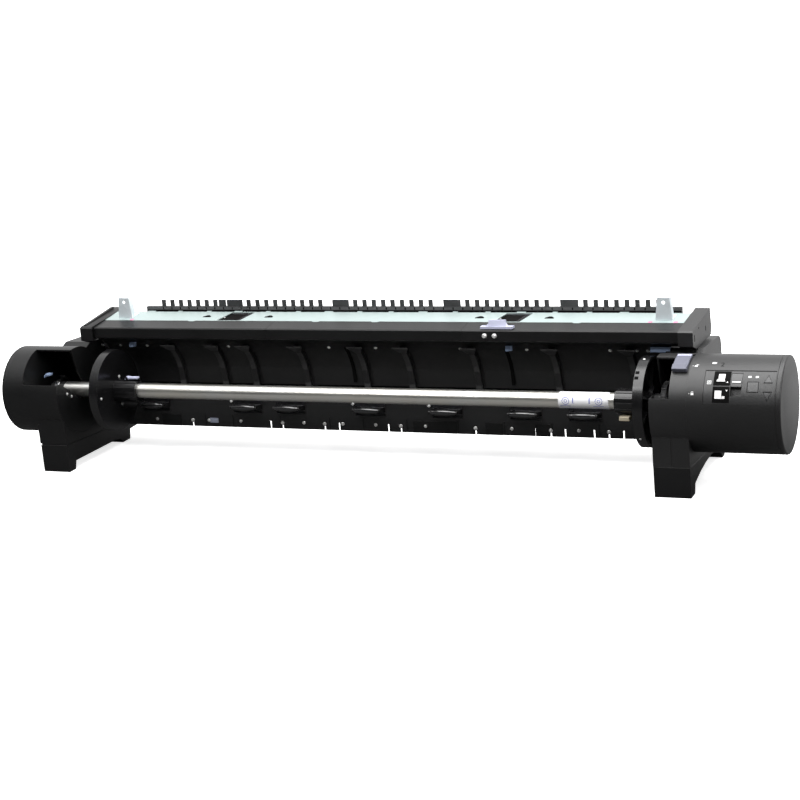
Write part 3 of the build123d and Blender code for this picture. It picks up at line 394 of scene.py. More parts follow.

# Thin black strips on the guide stand for the sensor slots: painted shade. The same black serves the
# printed alignment marks.
SLOT_X, SLOT_R, SLOT_HALF, SLOT_T = (-68.0, 270.0), 107.2, 3.5, 0.6
SLOT_ANGLES = (46.0, 36.0, 25.0, 14.5, -2.0)
shade_and_print_black = moulded("shade_and_print_black", (0.002, 0.002, 0.002), 0.8, spec=0.1)
bm = bmesh.new()
for x in SLOT_X:
    for angles in zip(SLOT_ANGLES, SLOT_ANGLES[1:]):
        strip(bm, x, (SLOT_HALF, SLOT_HALF), SLOT_R, angles, SLOT_T)
settle(bm)
finish(bm, "sensor_slot_shade", "frame", shade_and_print_black)


# Harness latches: small pale blue acetal hooks and a longer blue clip under the front beam,
# which hold the paper sensor's harness.
LATCH_X, LATCH_HALF = (-548.0, 283.0), 6.5
CLIP_X = (562.0, 600.0)
blue_acetal = moulded("blue_acetal", (0.20, 0.26, 0.38), 0.42, spec=0.4, mottle=0.1)
bm = bmesh.new()
for x in LATCH_X:
    brick(bm, (x - LATCH_HALF, 56.0, 78.0), (x + LATCH_HALF, 63.0, 88.0))
    brick(bm, (x - LATCH_HALF, 53.5, 78.0), (x + 2.0, 56.5, 83.0))
brick(bm, (CLIP_X[0], 50.0, 80.0), (CLIP_X[1], 62.0, 90.5))
settle(bm)
finish(bm, "sensor_latches", "frame", blue_acetal, edge=0.8)


# Lower guide: a row of black panels below the roll, slit at the foot so that each can be
# bent into line, with a notch for every guide roller and four small plates over the joints.
moulding("lower_guide", satin_abs, edge=0.5)
LOWER_FACE_Y = 100.0
LINE_HALF = 1.1
LOWER_PLATES = ((-500.0, 46.0), (100.0, 94.0), (225.0, 36.0), (326.0, 30.0))
PANEL_LINE_X = (-419.0, -354.0, -243.0, -131.0, -56.0, 40.0, 150.0, 247.0, 345.0, 440.0)
bm = bmesh.new()
for x in PANEL_LINE_X:
    brick(bm, (x - LINE_HALF, LOWER_FACE_Y - 0.9, -103.5), (x + LINE_HALF, LOWER_FACE_Y + 0.4, -76.0))
for x, width in LOWER_PLATES:
    low, high = (x - width / 2, LOWER_FACE_Y - 1.4, -103.8), (x + width / 2, LOWER_FACE_Y + 0.4, -79.0)
    brick(bm, low, high)
settle(bm)
finish(bm, "guide_plates", "frame", black_abs, edge=0.4)


# Label on the lower guide: a small blank lilac-grey part sticker, pressed on after the
# panels are screwed down.
STICKER_LOW, STICKER_HIGH = (-409.0, 99.3, -95.0), (-389.0, 100.2, -85.0)
label_film = moulded("label_film", (0.34, 0.37, 0.46), 0.35, spec=0.5, mottle=0.08, depth=0.05)
bm = bmesh.new()
brick(bm, STICKER_LOW, STICKER_HIGH)
settle(bm)
finish(bm, "part_sticker", "frame", label_film)


# Screws: plated pan heads along the guide's top edge and the lower panels, two in the left
# housing's recess, and two knurled thumb screws under the release lever.
def lathe(bm, profile, steps=32, y=0.0, z=0.0):
    """Turns a closed outline of (x, radius) points about a line along x."""
    ring = [bm.verts.new((x, y, z + radius)) for x, radius in profile]
    edges = [bm.edges.new((ring[i - 1], ring[i])) for i in range(len(ring))]
    bmesh.ops.spin(
        bm, geom=ring + edges, cent=(0.0, y, z), axis=(1.0, 0.0, 0.0), dvec=(0.0, 0.0, 0.0),
        angle=2 * math.pi, steps=steps, use_merge=True, use_normal_flip=False, use_duplicate=False,
    )


def screw(bm, seat, outward, radius=3.6, height=2.4, knurled=False):
    """A pan head with a hexagonal recess, or a thumb screw with a grooved edge."""
    steps = 24 if knurled else 12
    profile = [(0.0, 0.0), (0.0, radius), (height * 0.55, radius), (height, radius * 0.62), (height, 0.0)]
    before = set(bm.verts)
    lathe(bm, profile, steps)
    new = [v for v in bm.verts if v not in before]
    bmesh.ops.remove_doubles(bm, verts=new, dist=0.0005)
    new = [v for v in bm.verts if v not in before]
    if knurled:
        for i, v in enumerate(new):
            if math.hypot(v.co.y, v.co.z) > radius * 0.9 and i % 2:
                v.co.y *= 0.93
                v.co.z *= 0.93
    turn = Vector((1.0, 0.0, 0.0)).rotation_difference(Vector(outward).normalized()).to_matrix().to_4x4()
    bmesh.ops.transform(bm, matrix=Matrix.Translation(seat) @ turn, verts=new)
    recess = Matrix.Translation(Vector(seat) + Vector(outward).normalized() * (height - 0.05)) @ turn
    cross = Matrix.Rotation(math.radians(90.0), 4, "Y")
    bmesh.ops.create_cone(
        bm, cap_ends=True, segments=6, radius1=radius * 0.3, radius2=radius * 0.42, depth=0.3,
        matrix=recess @ cross,
    )


bright_screw = plated("bright_screw", (0.82, 0.82, 0.80), 0.34, metallic=0.55, spangle=0.03)
GUIDE_SCREW_X = (-631.0, -588.0, -524.0, -332.0, -105.0, -3.0, 177.0, 313.0, 478.0, 530.0, 551.0, 565.0)
LOWER_SCREW_X = (-536.0, -411.0, -336.0, -190.0, -102.0, -29.0, 80.0, 262.0, 399.0)
KEYHOLE_X = (-450.0, -239.0, -143.0, 26.0, 186.0, 342.0, 459.0)
THUMB_SCREW_X = (245.0, 265.0)
RECESS_SCREWS = ((-652.0, -51.0, 3.0), (-652.0, -36.0, -6.0))
GUIDE_SCREW_R, GUIDE_SCREW_ANGLE = 107.8, 45.6
TO_FRONT, TO_RIGHT = (0.0, -1.0, 0.0), (1.0, 0.0, 0.0)
bm = bmesh.new()
for x in GUIDE_SCREW_X:
    screw(bm, around(GUIDE_SCREW_R, GUIDE_SCREW_ANGLE, x), around(-1.0, GUIDE_SCREW_ANGLE))
for x in LOWER_SCREW_X:
    screw(bm, (x, LOWER_FACE_Y, -90.0), TO_FRONT)
for x in KEYHOLE_X:
    screw(bm, (x, LOWER_FACE_Y, -91.0), TO_FRONT, radius=4.0)
for x in THUMB_SCREW_X:
    screw(bm, (x, 33.0, 113.5), TO_FRONT, radius=4.8, height=5.0, knurled=True)
for seat in RECESS_SCREWS:
    screw(bm, seat, TO_RIGHT, radius=3.0, height=1.6)
settle(bm)
finish(bm, "screws", "frame", bright_screw, smooth=40.0, stands_for=("fasteners",))


# Guide rollers: seven glossy barrel-shaped rollers under the roll, each on a pin between two
# cheeks of one rocking bar. Bright bolts beside three of them hold the bar's lugs to the panel.
gloss_roller = moulded("gloss_roller", (0.015, 0.015, 0.016), 0.12, spec=1.0, depth=0.03, grain=500.0)
moulding("roller_arms", satin_abs, edge=0.4)
ROLLER_HALF, ROLLER_R, ROLLER_END_R = 26.5, 7.5, 4.5
ROLLER_PIN_R, ROLLER_PIN_OUT, ROLLER_GROOVE = 2.0, 3.0, 0.8
ROLLER_Y, ROLLER_Z = 80.0, -55.0
BARREL_STEPS, GROOVED_STEPS = 12, (2, 10)
for number in range(1, 8):
    low, high = span(f"guide_roller_{number}")
    middle = (low.x + high.x) / 2
    near, far = middle - ROLLER_HALF, middle + ROLLER_HALF
    profile = [(near - ROLLER_PIN_OUT, 0.0), (near - ROLLER_PIN_OUT, ROLLER_PIN_R), (near, ROLLER_PIN_R)]
    for step in range(BARREL_STEPS + 1):
        along = -1.0 + 2.0 * step / BARREL_STEPS
        groove = ROLLER_GROOVE if step in GROOVED_STEPS else 0.0
        bulge = ROLLER_END_R + (ROLLER_R - ROLLER_END_R) * (1.0 - along * along) - groove
        profile.append((middle + along * ROLLER_HALF, bulge))
    profile += [(far, ROLLER_PIN_R), (far + ROLLER_PIN_OUT, ROLLER_PIN_R), (far + ROLLER_PIN_OUT, 0.0)]
    bm = bmesh.new()
    lathe(bm, profile, 28, ROLLER_Y, ROLLER_Z)
    settle(bm)
    finish(bm, f"guide_roller_{number}_barrel", f"guide_roller_{number}", gloss_roller,
           smooth=40.0, stands_for=(f"guide_roller_{number}",))
BOLTED_ROLLERS, BOLT_ASIDE, BOLT_Z = (2, 4, 5), 8.0, -47.0
bm = bmesh.new()
for number in BOLTED_ROLLERS:
    low, high = span(f"guide_roller_{number}")
    screw(bm, (low.x - BOLT_ASIDE, LOWER_FACE_Y - 0.02, BOLT_Z), TO_FRONT, radius=3.4, height=3.0)
settle(bm)
finish(bm, "bar_bolts", "frame", bright_screw, smooth=40.0)


# Spool tube: drawn aluminium, satin, with a black moulded journal pressed over each end
# where it runs in its bearing.
def drawn_metal(name, colour, rough):
    """Satin drawn metal with fine lines along the tube, clouded from a warm to a cool tint."""
    paint = plated(name, colour, rough)
    smudge = paint.node_tree.nodes.new("ShaderNodeTexNoise")
    smudge.inputs["Scale"].default_value = 9.0
    smudge.inputs["Detail"].default_value = 3.0
    where = paint.node_tree.nodes["Texture Coordinate"]
    tone = paint.node_tree.nodes["Mix (Legacy)"]
    tone.inputs["Color1"].default_value = (colour[0], colour[1] * 0.95, colour[2] * 0.84, 1.0)
    tone.inputs["Color2"].default_value = (colour[0] * 0.92, colour[1] * 0.97, colour[2] * 1.04, 1.0)
    paint.node_tree.links.new(where.outputs["Object"], smudge.inputs["Vector"])
    paint.node_tree.links.new(smudge.outputs["Fac"], tone.inputs["Fac"])
    return paint


satin_aluminium = drawn_metal("satin_aluminium", (0.86, 0.85, 0.82), 0.30)
low, high = span("spool_shaft")
SHAFT_R = (high.z - low.z) / 2
SHAFT_BORE_R = SHAFT_R - 2.0
SHAFT_CHAMFER = 0.8
JOURNAL_X = (-684.0, 578.0)


def tube_length(x0, x1):
    """A length of tube with chamfered ends."""
    bm = bmesh.new()
    lathe(bm, [
        (x0, SHAFT_BORE_R), (x0, SHAFT_R - SHAFT_CHAMFER), (x0 + SHAFT_CHAMFER, SHAFT_R),
        (x1 - SHAFT_CHAMFER, SHAFT_R), (x1, SHAFT_R - SHAFT_CHAMFER), (x1, SHAFT_BORE_R),
    ], 72)
    settle(bm)
    return bm


finish(tube_length(*JOURNAL_X), "spool_tube", "spool", satin_aluminium,
       stands_for=("spool_shaft",))
finish(tube_length(low.x, JOURNAL_X[0]), "left_journal", "spool", satin_abs)
finish(tube_length(JOURNAL_X[1], high.x), "right_journal", "spool", satin_abs)


# Loading sticker: a white film round the right end of the tube, printed in violet with plain
# line drawings of rolls and arrows.
def on_barrel(verts, x, degrees, radius):
    """Wraps points drawn flat (u along x, v upwards in front, w outwards) round the roll axis."""
    for v in verts:
        u, climb, w = v.co
        v.co = around(radius + w, degrees - math.degrees(climb / radius), x + u)


def film(bm, low, high, thick, x, degrees, radius, steps=8):
    """A thin rectangle from corner low to corner high, wrapped on a barrel."""
    before = set(bm.verts)
    middle = Vector(((low[0] + high[0]) / 2, (low[1] + high[1]) / 2, 0.0))
    size = Matrix.Diagonal((high[0] - low[0], high[1] - low[1], 1.0, 1.0))
    grid = bmesh.ops.create_grid(
        bm, x_segments=1, y_segments=steps, size=0.5, matrix=Matrix.Translation(middle) @ size,
    )
    faces = list({face for v in grid["verts"] for face in v.link_faces})
    grown = bmesh.ops.extrude_face_region(bm, geom=faces)["geom"]
    moved = [item for item in grown if isinstance(item, bmesh.types.BMVert)]
    bmesh.ops.translate(bm, vec=(0.0, 0.0, thick), verts=moved)
    on_barrel([v for v in bm.verts if v not in before], x, degrees, radius)


def patch(bm, points, thick, x, degrees, radius):
    """A thin flat shape of (u, v) points, wrapped on a barrel."""
    before = set(bm.verts)
    slab(bm, [(u, v, 0.0) for u, v in points], (0.0, 0.0, thick))
    on_barrel([v for v in bm.verts if v not in before], x, degrees, radius)


def ring_mark(bm, u, v, size, line, thick, x, degrees, radius, sides=12):
    """A printed circle: a ring of short strokes."""
    for i in range(sides):
        a0, a1 = 2 * math.pi * i / sides, 2 * math.pi * (i + 1) / sides
        inner, outer = size - line, size
        points = [(u + inner * math.cos(a0), v + inner * math.sin(a0)),
                  (u + outer * math.cos(a0), v + outer * math.sin(a0)),
                  (u + outer * math.cos(a1), v + outer * math.sin(a1)),
                  (u + inner * math.cos(a1), v + inner * math.sin(a1))]
        patch(bm, points, thick, x, degrees, radius)


white_film = moulded("white_film", (0.82, 0.82, 0.84), 0.35, spec=0.5, mottle=0.04, depth=0.05)
violet_ink = moulded("violet_ink", (0.12, 0.14, 0.42), 0.4, spec=0.4, mottle=0.1, depth=0.05)
STICKER_X = (399.0, 496.0)
STICKER_HALF = (STICKER_X[1] - STICKER_X[0]) / 2
FILM_T, INK_T = 0.12, 0.18
ON_TUBE = ((STICKER_X[0] + STICKER_X[1]) / 2, 165.0, SHAFT_R)
ROLL_DRAWINGS, ARROW_DRAWINGS = (-34.0, 30.0), (-20.0, 12.0)
bm = bmesh.new()
film(bm, (-STICKER_HALF, -34.0), (STICKER_HALF, 26.0), FILM_T, *ON_TUBE, steps=24)
settle(bm)
finish(bm, "loading_sticker", "spool", white_film)
bm = bmesh.new()
for u in ROLL_DRAWINGS:
    ring_mark(bm, u, -2.0, 7.5, 1.3, INK_T, *ON_TUBE)
    ring_mark(bm, u, -2.0, 3.4, 1.1, INK_T, *ON_TUBE, sides=8)
    film(bm, (u - 11.0, -12.5), (u + 9.0, -11.5), INK_T, *ON_TUBE)
for u in ARROW_DRAWINGS:
    film(bm, (u - 1.0, -6.0), (u + 1.0, 5.0), INK_T, *ON_TUBE)
    patch(bm, [(u - 3.2, -6.0), (u + 3.2, -6.0), (u, -11.0)], INK_T, *ON_TUBE)
    film(bm, (u - 4.0, 9.0), (u + 6.0, 10.0), INK_T, *ON_TUBE)
film(bm, (-44.0, -20.5), (44.0, -19.5), INK_T, *ON_TUBE)
settle(bm)
finish(bm, "sticker_print", "spool", violet_ink)


# Flanges: gloss black discs that hold the roll, each with a deep rim, radial ribs outside
# and a splined hub for the core. The left one slides and is clamped by a lilac thumb lever, the
# right one has paired slots and screws in its rim and a beige catch in its hub.
gloss_abs = moulded("gloss_abs", (0.0045, 0.0045, 0.005), 0.24, spec=0.5, grain=300.0, depth=0.04)
moulding("left_flange", gloss_abs, edge=0.8)
moulding("right_flange", gloss_abs, edge=0.8)
lilac_abs = moulded("lilac_abs", (0.40, 0.41, 0.53), 0.40, spec=0.5, mottle=0.06)
moulding("flange_lever", lilac_abs, edge=1.2)
FLANGE_FACE_X = -559.9
FACE_SCREWS = ((9.0, 26.5, 3.2), (7.2, -31.1, 3.2), (-68.0, -0.6, 2.8))
bm = bmesh.new()
for y, z, radius in FACE_SCREWS:
    screw(bm, (FLANGE_FACE_X, y, z), TO_RIGHT, radius=radius, height=1.8)
settle(bm)
finish(bm, "left_flange_screws", "left_flange", bright_screw, smooth=40.0)
FLANGE_R, RIM_X, RIM_SCREW_X = 84.3, 564.5, 567.8
RIM_SLOT_ANGLES = (126.3, 134.3, 306.3, 314.3)
RIM_SCREW_ANGLES = (98.3, 218.3, 338.3)
# Small black patches on the right rim stand for its slots: painted shade.
bm = bmesh.new()
for degrees in RIM_SLOT_ANGLES:
    film(bm, (-3.6, -3.2), (3.6, 3.2), FILM_T, RIM_X, degrees, FLANGE_R, 3)
settle(bm)
finish(bm, "right_rim_slot_shade", "spool", shade_and_print_black)
bm = bmesh.new()
for degrees in RIM_SCREW_ANGLES:
    screw(bm, around(FLANGE_R - 0.2, degrees, RIM_SCREW_X), around(1.0, degrees), radius=2.6, height=1.2)
settle(bm)
finish(bm, "right_rim_screws", "spool", bright_screw, smooth=40.0)
CATCH_LOW, CATCH_HIGH = (516.0, -21.0, -33.0), (536.0, 2.0, -24.5)
beige_acetal = moulded("beige_acetal", (0.52, 0.46, 0.34), 0.45, spec=0.4, mottle=0.12)
bm = bmesh.new()
brick(bm, CATCH_LOW, CATCH_HIGH)
settle(bm)
finish(bm, "hub_catch", "spool", beige_acetal, edge=1.5)


# Bearings and drive: ground steel rings in the cradles, a black spool gear, a natural acetal
# idler, steel pinions and can motors, and the board behind the control panel. Two blue hooks
# in the left housing keep the spool in its seat.
ground_steel = plated("ground_steel", (0.62, 0.62, 0.62), 0.2, spangle=0.02)
white_acetal = moulded("white_acetal", (0.66, 0.63, 0.55), 0.36, spec=0.5, mottle=0.08, depth=0.1)
moulding("shaft_bearings", ground_steel, edge=0.6)
moulding("spool_gear", satin_abs, edge=0.15)
moulding("idler_gear", white_acetal, edge=0.15)
for node in ("drive_pinion", "feed_pinion"):
    moulding(node, ground_steel, edge=0.1)
moulding("drive_motor", dark_steel, edge=0.8)
moulding("feed_motor", dark_steel, edge=0.8)
board_green = moulded("board_green", (0.02, 0.11, 0.05), 0.3, spec=0.6, mottle=0.3)
moulding("circuit_board", board_green, edge=0.1)
low, high = span("circuit_board")
CHIPS, CHIP_Y, BOARD_EDGE = 5, -20.0, 12.0
CHIP_PITCH = (high.x - low.x - 2 * BOARD_EDGE) / (CHIPS - 1)
SOCKET_Y = (20.0, 26.0)
bm = bmesh.new()
for i in range(CHIPS):
    x = low.x + BOARD_EDGE + i * CHIP_PITCH
    size = 5.0 + 2.0 * (i % 3)
    brick(bm, (x - size, CHIP_Y - size, high.z), (x + size, CHIP_Y + size, high.z + 1.5 + i % 2))
    brick(bm, (x - 3.0, SOCKET_Y[0], high.z), (x + 3.0, SOCKET_Y[1], high.z + 4.0))
settle(bm)
finish(bm, "board_chips", "frame", black_abs, edge=0.2)
SEAT_HOOKS = (((-716.0, -28.0, 34.0), (-705.0, -14.0, 38.5)),
              ((-722.0, -24.0, 29.0), (-718.0, -12.0, 35.0)))
bm = bmesh.new()
for low, high in SEAT_HOOKS:
    brick(bm, low, high)
settle(bm)
finish(bm, "seat_latch", "frame", blue_acetal, edge=1.0)


# Lock ring: a charcoal cover that turns inside the right housing, with a lilac finger grip
# crossed by a paler band of painted highlight near its top.
moulding("lock_ring", charcoal_abs, edge=0.6)
grip_lilac = moulded("grip_lilac", (0.12, 0.123, 0.158), 0.5, spec=0.3, mottle=0.06)
moulding("lock_grip", grip_lilac, edge=1.4, smooth=28.0)
low, high = span("lock_grip")
ON_GRIP = ((low.x + high.x) / 2, 96.0, high.z)
# A paler lilac film over the grip's top: painted highlight.
bm = bmesh.new()
film(bm, (-12.6, -4.5), (12.6, 4.5), 0.25, *ON_GRIP, steps=4)
settle(bm)
finish(bm, "grip_highlight_band", frame["nodes"]["lock_grip"]["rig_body"], lilac_abs)


# Control panel: a shallow inset in the right drum with black plates and white pictograms, a
# slide switch over a grey tray, two lamps, a square start button and two feed arrows. The marks
# are plain ones, screen-printed, and two padlocks beside the panel show the lock ring's ends.
panel_abs = moulded("panel_abs", (0.016, 0.016, 0.0165), 0.40, spec=0.5)
key_abs = moulded("key_abs", (0.020, 0.020, 0.021), 0.36, spec=0.6)
moulding("control_panel", panel_abs, edge=0.3)
for node in ("start_button", "feed_up_button", "feed_down_button", "direction_switch"):
    moulding(node, key_abs, edge=0.45)
low, high = span("right_end_cap")
DRUM_R = (high.z - low.z) / 2
PANEL_R = DRUM_R - 1.2
PLATE_X, PLATE_T, PLATE_HALF = 721.5, 0.3, (15.0, 14.6)
UPPER_PLATE, LOWER_PLATE = (PLATE_X, 134.2, PANEL_R), (PLATE_X, 154.3, PANEL_R)
# Plain black for the plates under the pictograms, also used for the painted shade round the keys.
plate_and_gap_shade_black = moulded("plate_and_gap_shade_black", (0.003, 0.003, 0.003), 0.6, spec=0.05, depth=0.05)
bm = bmesh.new()
for plate in (UPPER_PLATE, LOWER_PLATE):
    film(bm, (-PLATE_HALF[0], -PLATE_HALF[1]), PLATE_HALF, PLATE_T, *plate)
settle(bm)
finish(bm, "panel_plates", "frame", plate_and_gap_shade_black)

white_ink = moulded("white_ink", (0.80, 0.80, 0.80), 0.45, spec=0.3, mottle=0.05, depth=0.1)
PLATE_INK_T, DRUM_INK_T = 0.42, 0.15
bm = bmesh.new()
film(bm, (-6.5, -1.0), (5.0, 8.5), PLATE_INK_T, *UPPER_PLATE)
patch(bm, [(-10.0, -6.5), (-7.5, -1.6), (4.0, -1.6), (6.0, -6.5)], PLATE_INK_T, *UPPER_PLATE)
patch(bm, [(8.2, -9.0), (12.0, -9.0), (10.1, -6.0)], PLATE_INK_T, *UPPER_PLATE)
film(bm, (-11.0, -7.5), (1.0, 7.0), PLATE_INK_T, *LOWER_PLATE)
film(bm, (1.6, -7.5), (7.0, -3.0), PLATE_INK_T, *LOWER_PLATE)
patch(bm, [(8.2, 8.5), (12.0, 8.5), (10.1, 5.5)], PLATE_INK_T, *LOWER_PLATE)

LAMP_X, LAMP_ANGLE = (770.0, 783.0), 131.8
for x in LAMP_X:
    film(bm, (-2.6, -1.8), (2.6, 1.8), 0.2, x, LAMP_ANGLE, PANEL_R, steps=2)
ROLL_ICON = (699.0, 139.8, PANEL_R)
for v in (2.6, -3.4):
    film(bm, (-3.6, v), (3.6, v + 0.8), DRUM_INK_T, *ROLL_ICON, steps=2)
for u in (-3.6, 2.8):
    film(bm, (u, -3.0), (u + 0.8, 3.0), DRUM_INK_T, *ROLL_ICON, steps=2)
ring_mark(bm, 0.0, 0.0, 1.9, 0.7, DRUM_INK_T, *ROLL_ICON, sides=8)

PADLOCK_X, OPEN_PADLOCK, CLOSED_PADLOCK = 670.5, (117.0, 2.4), (154.0, 0.0)
for degrees, swing in (OPEN_PADLOCK, CLOSED_PADLOCK):
    spot = (PADLOCK_X, degrees, DRUM_R)
    film(bm, (-2.5, -2.6), (2.5, 1.2), DRUM_INK_T, *spot, steps=2)
    film(bm, (-1.9 + swing, 3.2), (1.9 + swing, 3.9), DRUM_INK_T, *spot, steps=2)
    for u in (-1.9, 1.2):
        film(bm, (u + swing, 1.2), (u + swing + 0.7, 3.6), DRUM_INK_T, *spot, steps=2)
    patch(bm, [(-6.2, -0.8), (-6.2, 0.8), (-4.4, 0.0)], DRUM_INK_T, *spot)
UNIT_ICON = (703.0, 111.5, DRUM_R)
film(bm, (-4.6, -2.6), (1.6, 2.4), DRUM_INK_T, *UNIT_ICON, steps=3)
film(bm, (2.4, -2.6), (3.2, 2.4), DRUM_INK_T, *UNIT_ICON, steps=3)
settle(bm)
finish(bm, "panel_pictograms", "frame", white_ink)

# Thin black rims round the start key and the feed arrows: painted shade in the gaps about the keys.
GAP_R, GAP_T = PANEL_R + 0.02, 0.1
START_KEY, KEY_IN, KEY_OUT = (777.0, 144.6, GAP_R), 9.3, 10.1
KEY_SIDES = (((-KEY_OUT, -KEY_OUT), (-KEY_IN, KEY_OUT)), ((KEY_IN, -KEY_OUT), (KEY_OUT, KEY_OUT)),
             ((-KEY_OUT, -KEY_OUT - 0.3), (KEY_OUT, -KEY_IN)), ((-KEY_OUT, KEY_IN), (KEY_OUT, KEY_OUT)))
ARROW_X, ARROW_HALF, ARROW_IN, ARROW_OUT = 803.0, 7.0, 1.04, 1.22
ARROW_KEYS = ((134.3, ARROW_HALF), (155.5, -ARROW_HALF))
bm = bmesh.new()
for low, high in KEY_SIDES:
    film(bm, low, high, GAP_T, *START_KEY)
for degrees, tip in ARROW_KEYS:
    corners = [Vector((-ARROW_HALF, -tip)), Vector((ARROW_HALF, -tip)), Vector((0.0, tip))]
    for i in range(3):
        near, far = corners[i - 1], corners[i]
        side = [near * ARROW_IN, far * ARROW_IN, far * ARROW_OUT, near * ARROW_OUT]
        patch(bm, side, GAP_T, ARROW_X, degrees, GAP_R)
settle(bm)
finish(bm, "key_gap_shade", "frame", plate_and_gap_shade_black)

SWITCH_X = 747.5
ON_KNOB, ON_TRAY = (SWITCH_X, 139.1, DRUM_R - 0.35), (SWITCH_X, 141.3, PANEL_R - 10.3)
bm = bmesh.new()
film(bm, (-7.6, -1.2), (7.6, 1.2), 0.3, *ON_KNOB, steps=2)
settle(bm)
finish(bm, "switch_bar", frame["nodes"]["direction_switch"]["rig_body"], white_ink)
tray_abs = moulded("tray_abs", (0.07, 0.07, 0.07), 0.6)
bm = bmesh.new()
film(bm, (-11.0, -25.0), (11.0, 25.0), 0.5, *ON_TRAY, steps=12)
settle(bm)
finish(bm, "switch_tray", "frame", tray_abs)

dark_ink = moulded("dark_ink", (0.004, 0.004, 0.004), 0.6, spec=0.1, depth=0.05)
NUMERAL_SIZE = 15.4
NUMERAL_SPOT = (717.5, 114.5, DRUM_R)
lettering = bpy.data.curves.new("numeral", "FONT")
lettering.body = "2"
lettering.size = NUMERAL_SIZE
lettering.extrude = FILM_T
lettering.align_x, lettering.align_y = "CENTER", "CENTER"
numeral = bpy.data.objects.new("numeral", lettering)
flat_numeral = bpy.data.meshes.new_from_object(numeral)
bpy.data.objects.remove(numeral)
bm = bmesh.new()
bm.from_mesh(flat_numeral)
on_barrel(bm.verts, *NUMERAL_SPOT)
settle(bm)
finish(bm, "roll_numeral", "frame", dark_ink)


# Front beam: three moulded lengths of black plastic between two end covers, which close the
# front of the top and are screwed to the side plates.
beam_abs = moulded("beam_abs", (0.0045, 0.0045, 0.0047), 0.40, spec=0.30)
for node in ("beam_cover_left", "beam_cover_middle", "beam_cover_right"):
    moulding(node, beam_abs, edge=0.7)
moulding("left_top_cover", black_abs, edge=1.0)
moulding("right_top_cover", charcoal_abs, edge=1.0)


# Feed roller and pinch rollers: black rubber sleeves on steel shafts behind the beam, turned in
# natural acetal bearings, which draw the paper off the roll.
for node in ("feed_roller", "pinch_rollers"):
    moulding(node, moulded(node + "_rubber", (0.02, 0.02, 0.02), 0.7, spec=0.2), edge=0.3)
moulding("pinch_bearings", white_acetal, edge=0.4)


# Beam lip: a thin paler strip of the same moulding along the lower edge of the front beam,
# where it is folded under and catches the light.
BEAM_LIP_X = (-620.0, 620.0)
LIP_FRONT, LIP_BACK = (34.5, 102.4), (38.5, 100.5)
bm = bmesh.new()
slab(bm, [(BEAM_LIP_X[0], *LIP_FRONT), (BEAM_LIP_X[1], *LIP_FRONT),
          (BEAM_LIP_X[1], *LIP_BACK), (BEAM_LIP_X[0], *LIP_BACK)], (0.0, -0.3, -0.5))
settle(bm)
finish(bm, "beam_lip", "frame", painted_highlight_abs)


# Top plate: pale zinc-plated sheet, folded down at both edges, with two windows for the paper
# sensors, lanced tabs along its front and rear, small black marks for lining up the paper and
# pink inspection rings.
pale_zinc = plated("pale_zinc", (0.44, 0.52, 0.51), 0.46, metallic=0.7, spangle=0.02)
moulding("top_plate", pale_zinc, edge=0.3)
TOP_FRONT_Y, TOP_FRONT_Z = 33.0, 124.0
TOP_SLOPE = math.tan(math.radians(6.5))


def top_z(y):
    """Height of the sloping top at a distance behind the roll's axis."""
    return TOP_FRONT_Z + (y - TOP_FRONT_Y) * TOP_SLOPE


def on_top(bm, points, thick=0.4, lift=0.0):
    """A thin shape of (x, y) points lying on the sloping top."""
    slab(bm, [(x, y, top_z(y) + lift) for x, y in points], (0.0, 0.0, thick))


FRONT_TAB_X = (-413.0, -130.0, 0.0, 415.0)
REAR_TABS, REAR_TAB_X = 17, (-540.0, 560.0)
REAR_TAB_PITCH = (REAR_TAB_X[1] - REAR_TAB_X[0]) / (REAR_TABS - 1)
bm = bmesh.new()
for x in FRONT_TAB_X:
    on_top(bm, [(x - 12.0, 81.0), (x + 12.0, 81.0), (x + 5.0, 75.0), (x - 5.0, 75.0)])
for i in range(REAR_TABS):
    x = REAR_TAB_X[0] + i * REAR_TAB_PITCH
    half = 5.0 if i % 3 else 9.0
    on_top(bm, [(x - half, 133.5), (x + half, 133.5), (x + half, 140.0), (x - half, 140.0)], 1.0, -1.2)
settle(bm)
finish(bm, "plate_tabs", "frame", pale_zinc)

MARK_X, MARK_T = (-390.0, -247.0, 211.0, 353.0), 0.25
bm = bmesh.new()
for x in MARK_X:
    on_top(bm, [(x - 9.0, 100.0), (x + 9.0, 100.0), (x + 9.0, 105.0), (x + 2.5, 112.0),
                (x - 2.5, 112.0), (x - 9.0, 105.0)], MARK_T)
settle(bm)
finish(bm, "alignment_marks", "frame", shade_and_print_black)

RING_X, RING_Y, RING_IN, RING_OUT, RING_SIDES = (-558.0, 556.0, 604.0), 84.0, 2.2, 4.2, 12
pink_ink = moulded("pink_ink", (0.75, 0.16, 0.34), 0.5, spec=0.3, mottle=0.1)
bm = bmesh.new()
for x in RING_X:
    for i in range(RING_SIDES):
        near, far = math.tau * i / RING_SIDES, math.tau * (i + 1) / RING_SIDES
        corners = ((RING_IN, near), (RING_OUT, near), (RING_OUT, far), (RING_IN, far))
        on_top(bm, [(x + r * math.cos(a), RING_Y + r * math.sin(a)) for r, a in corners], MARK_T)
settle(bm)
finish(bm, "inspection_rings", "frame", pink_ink)


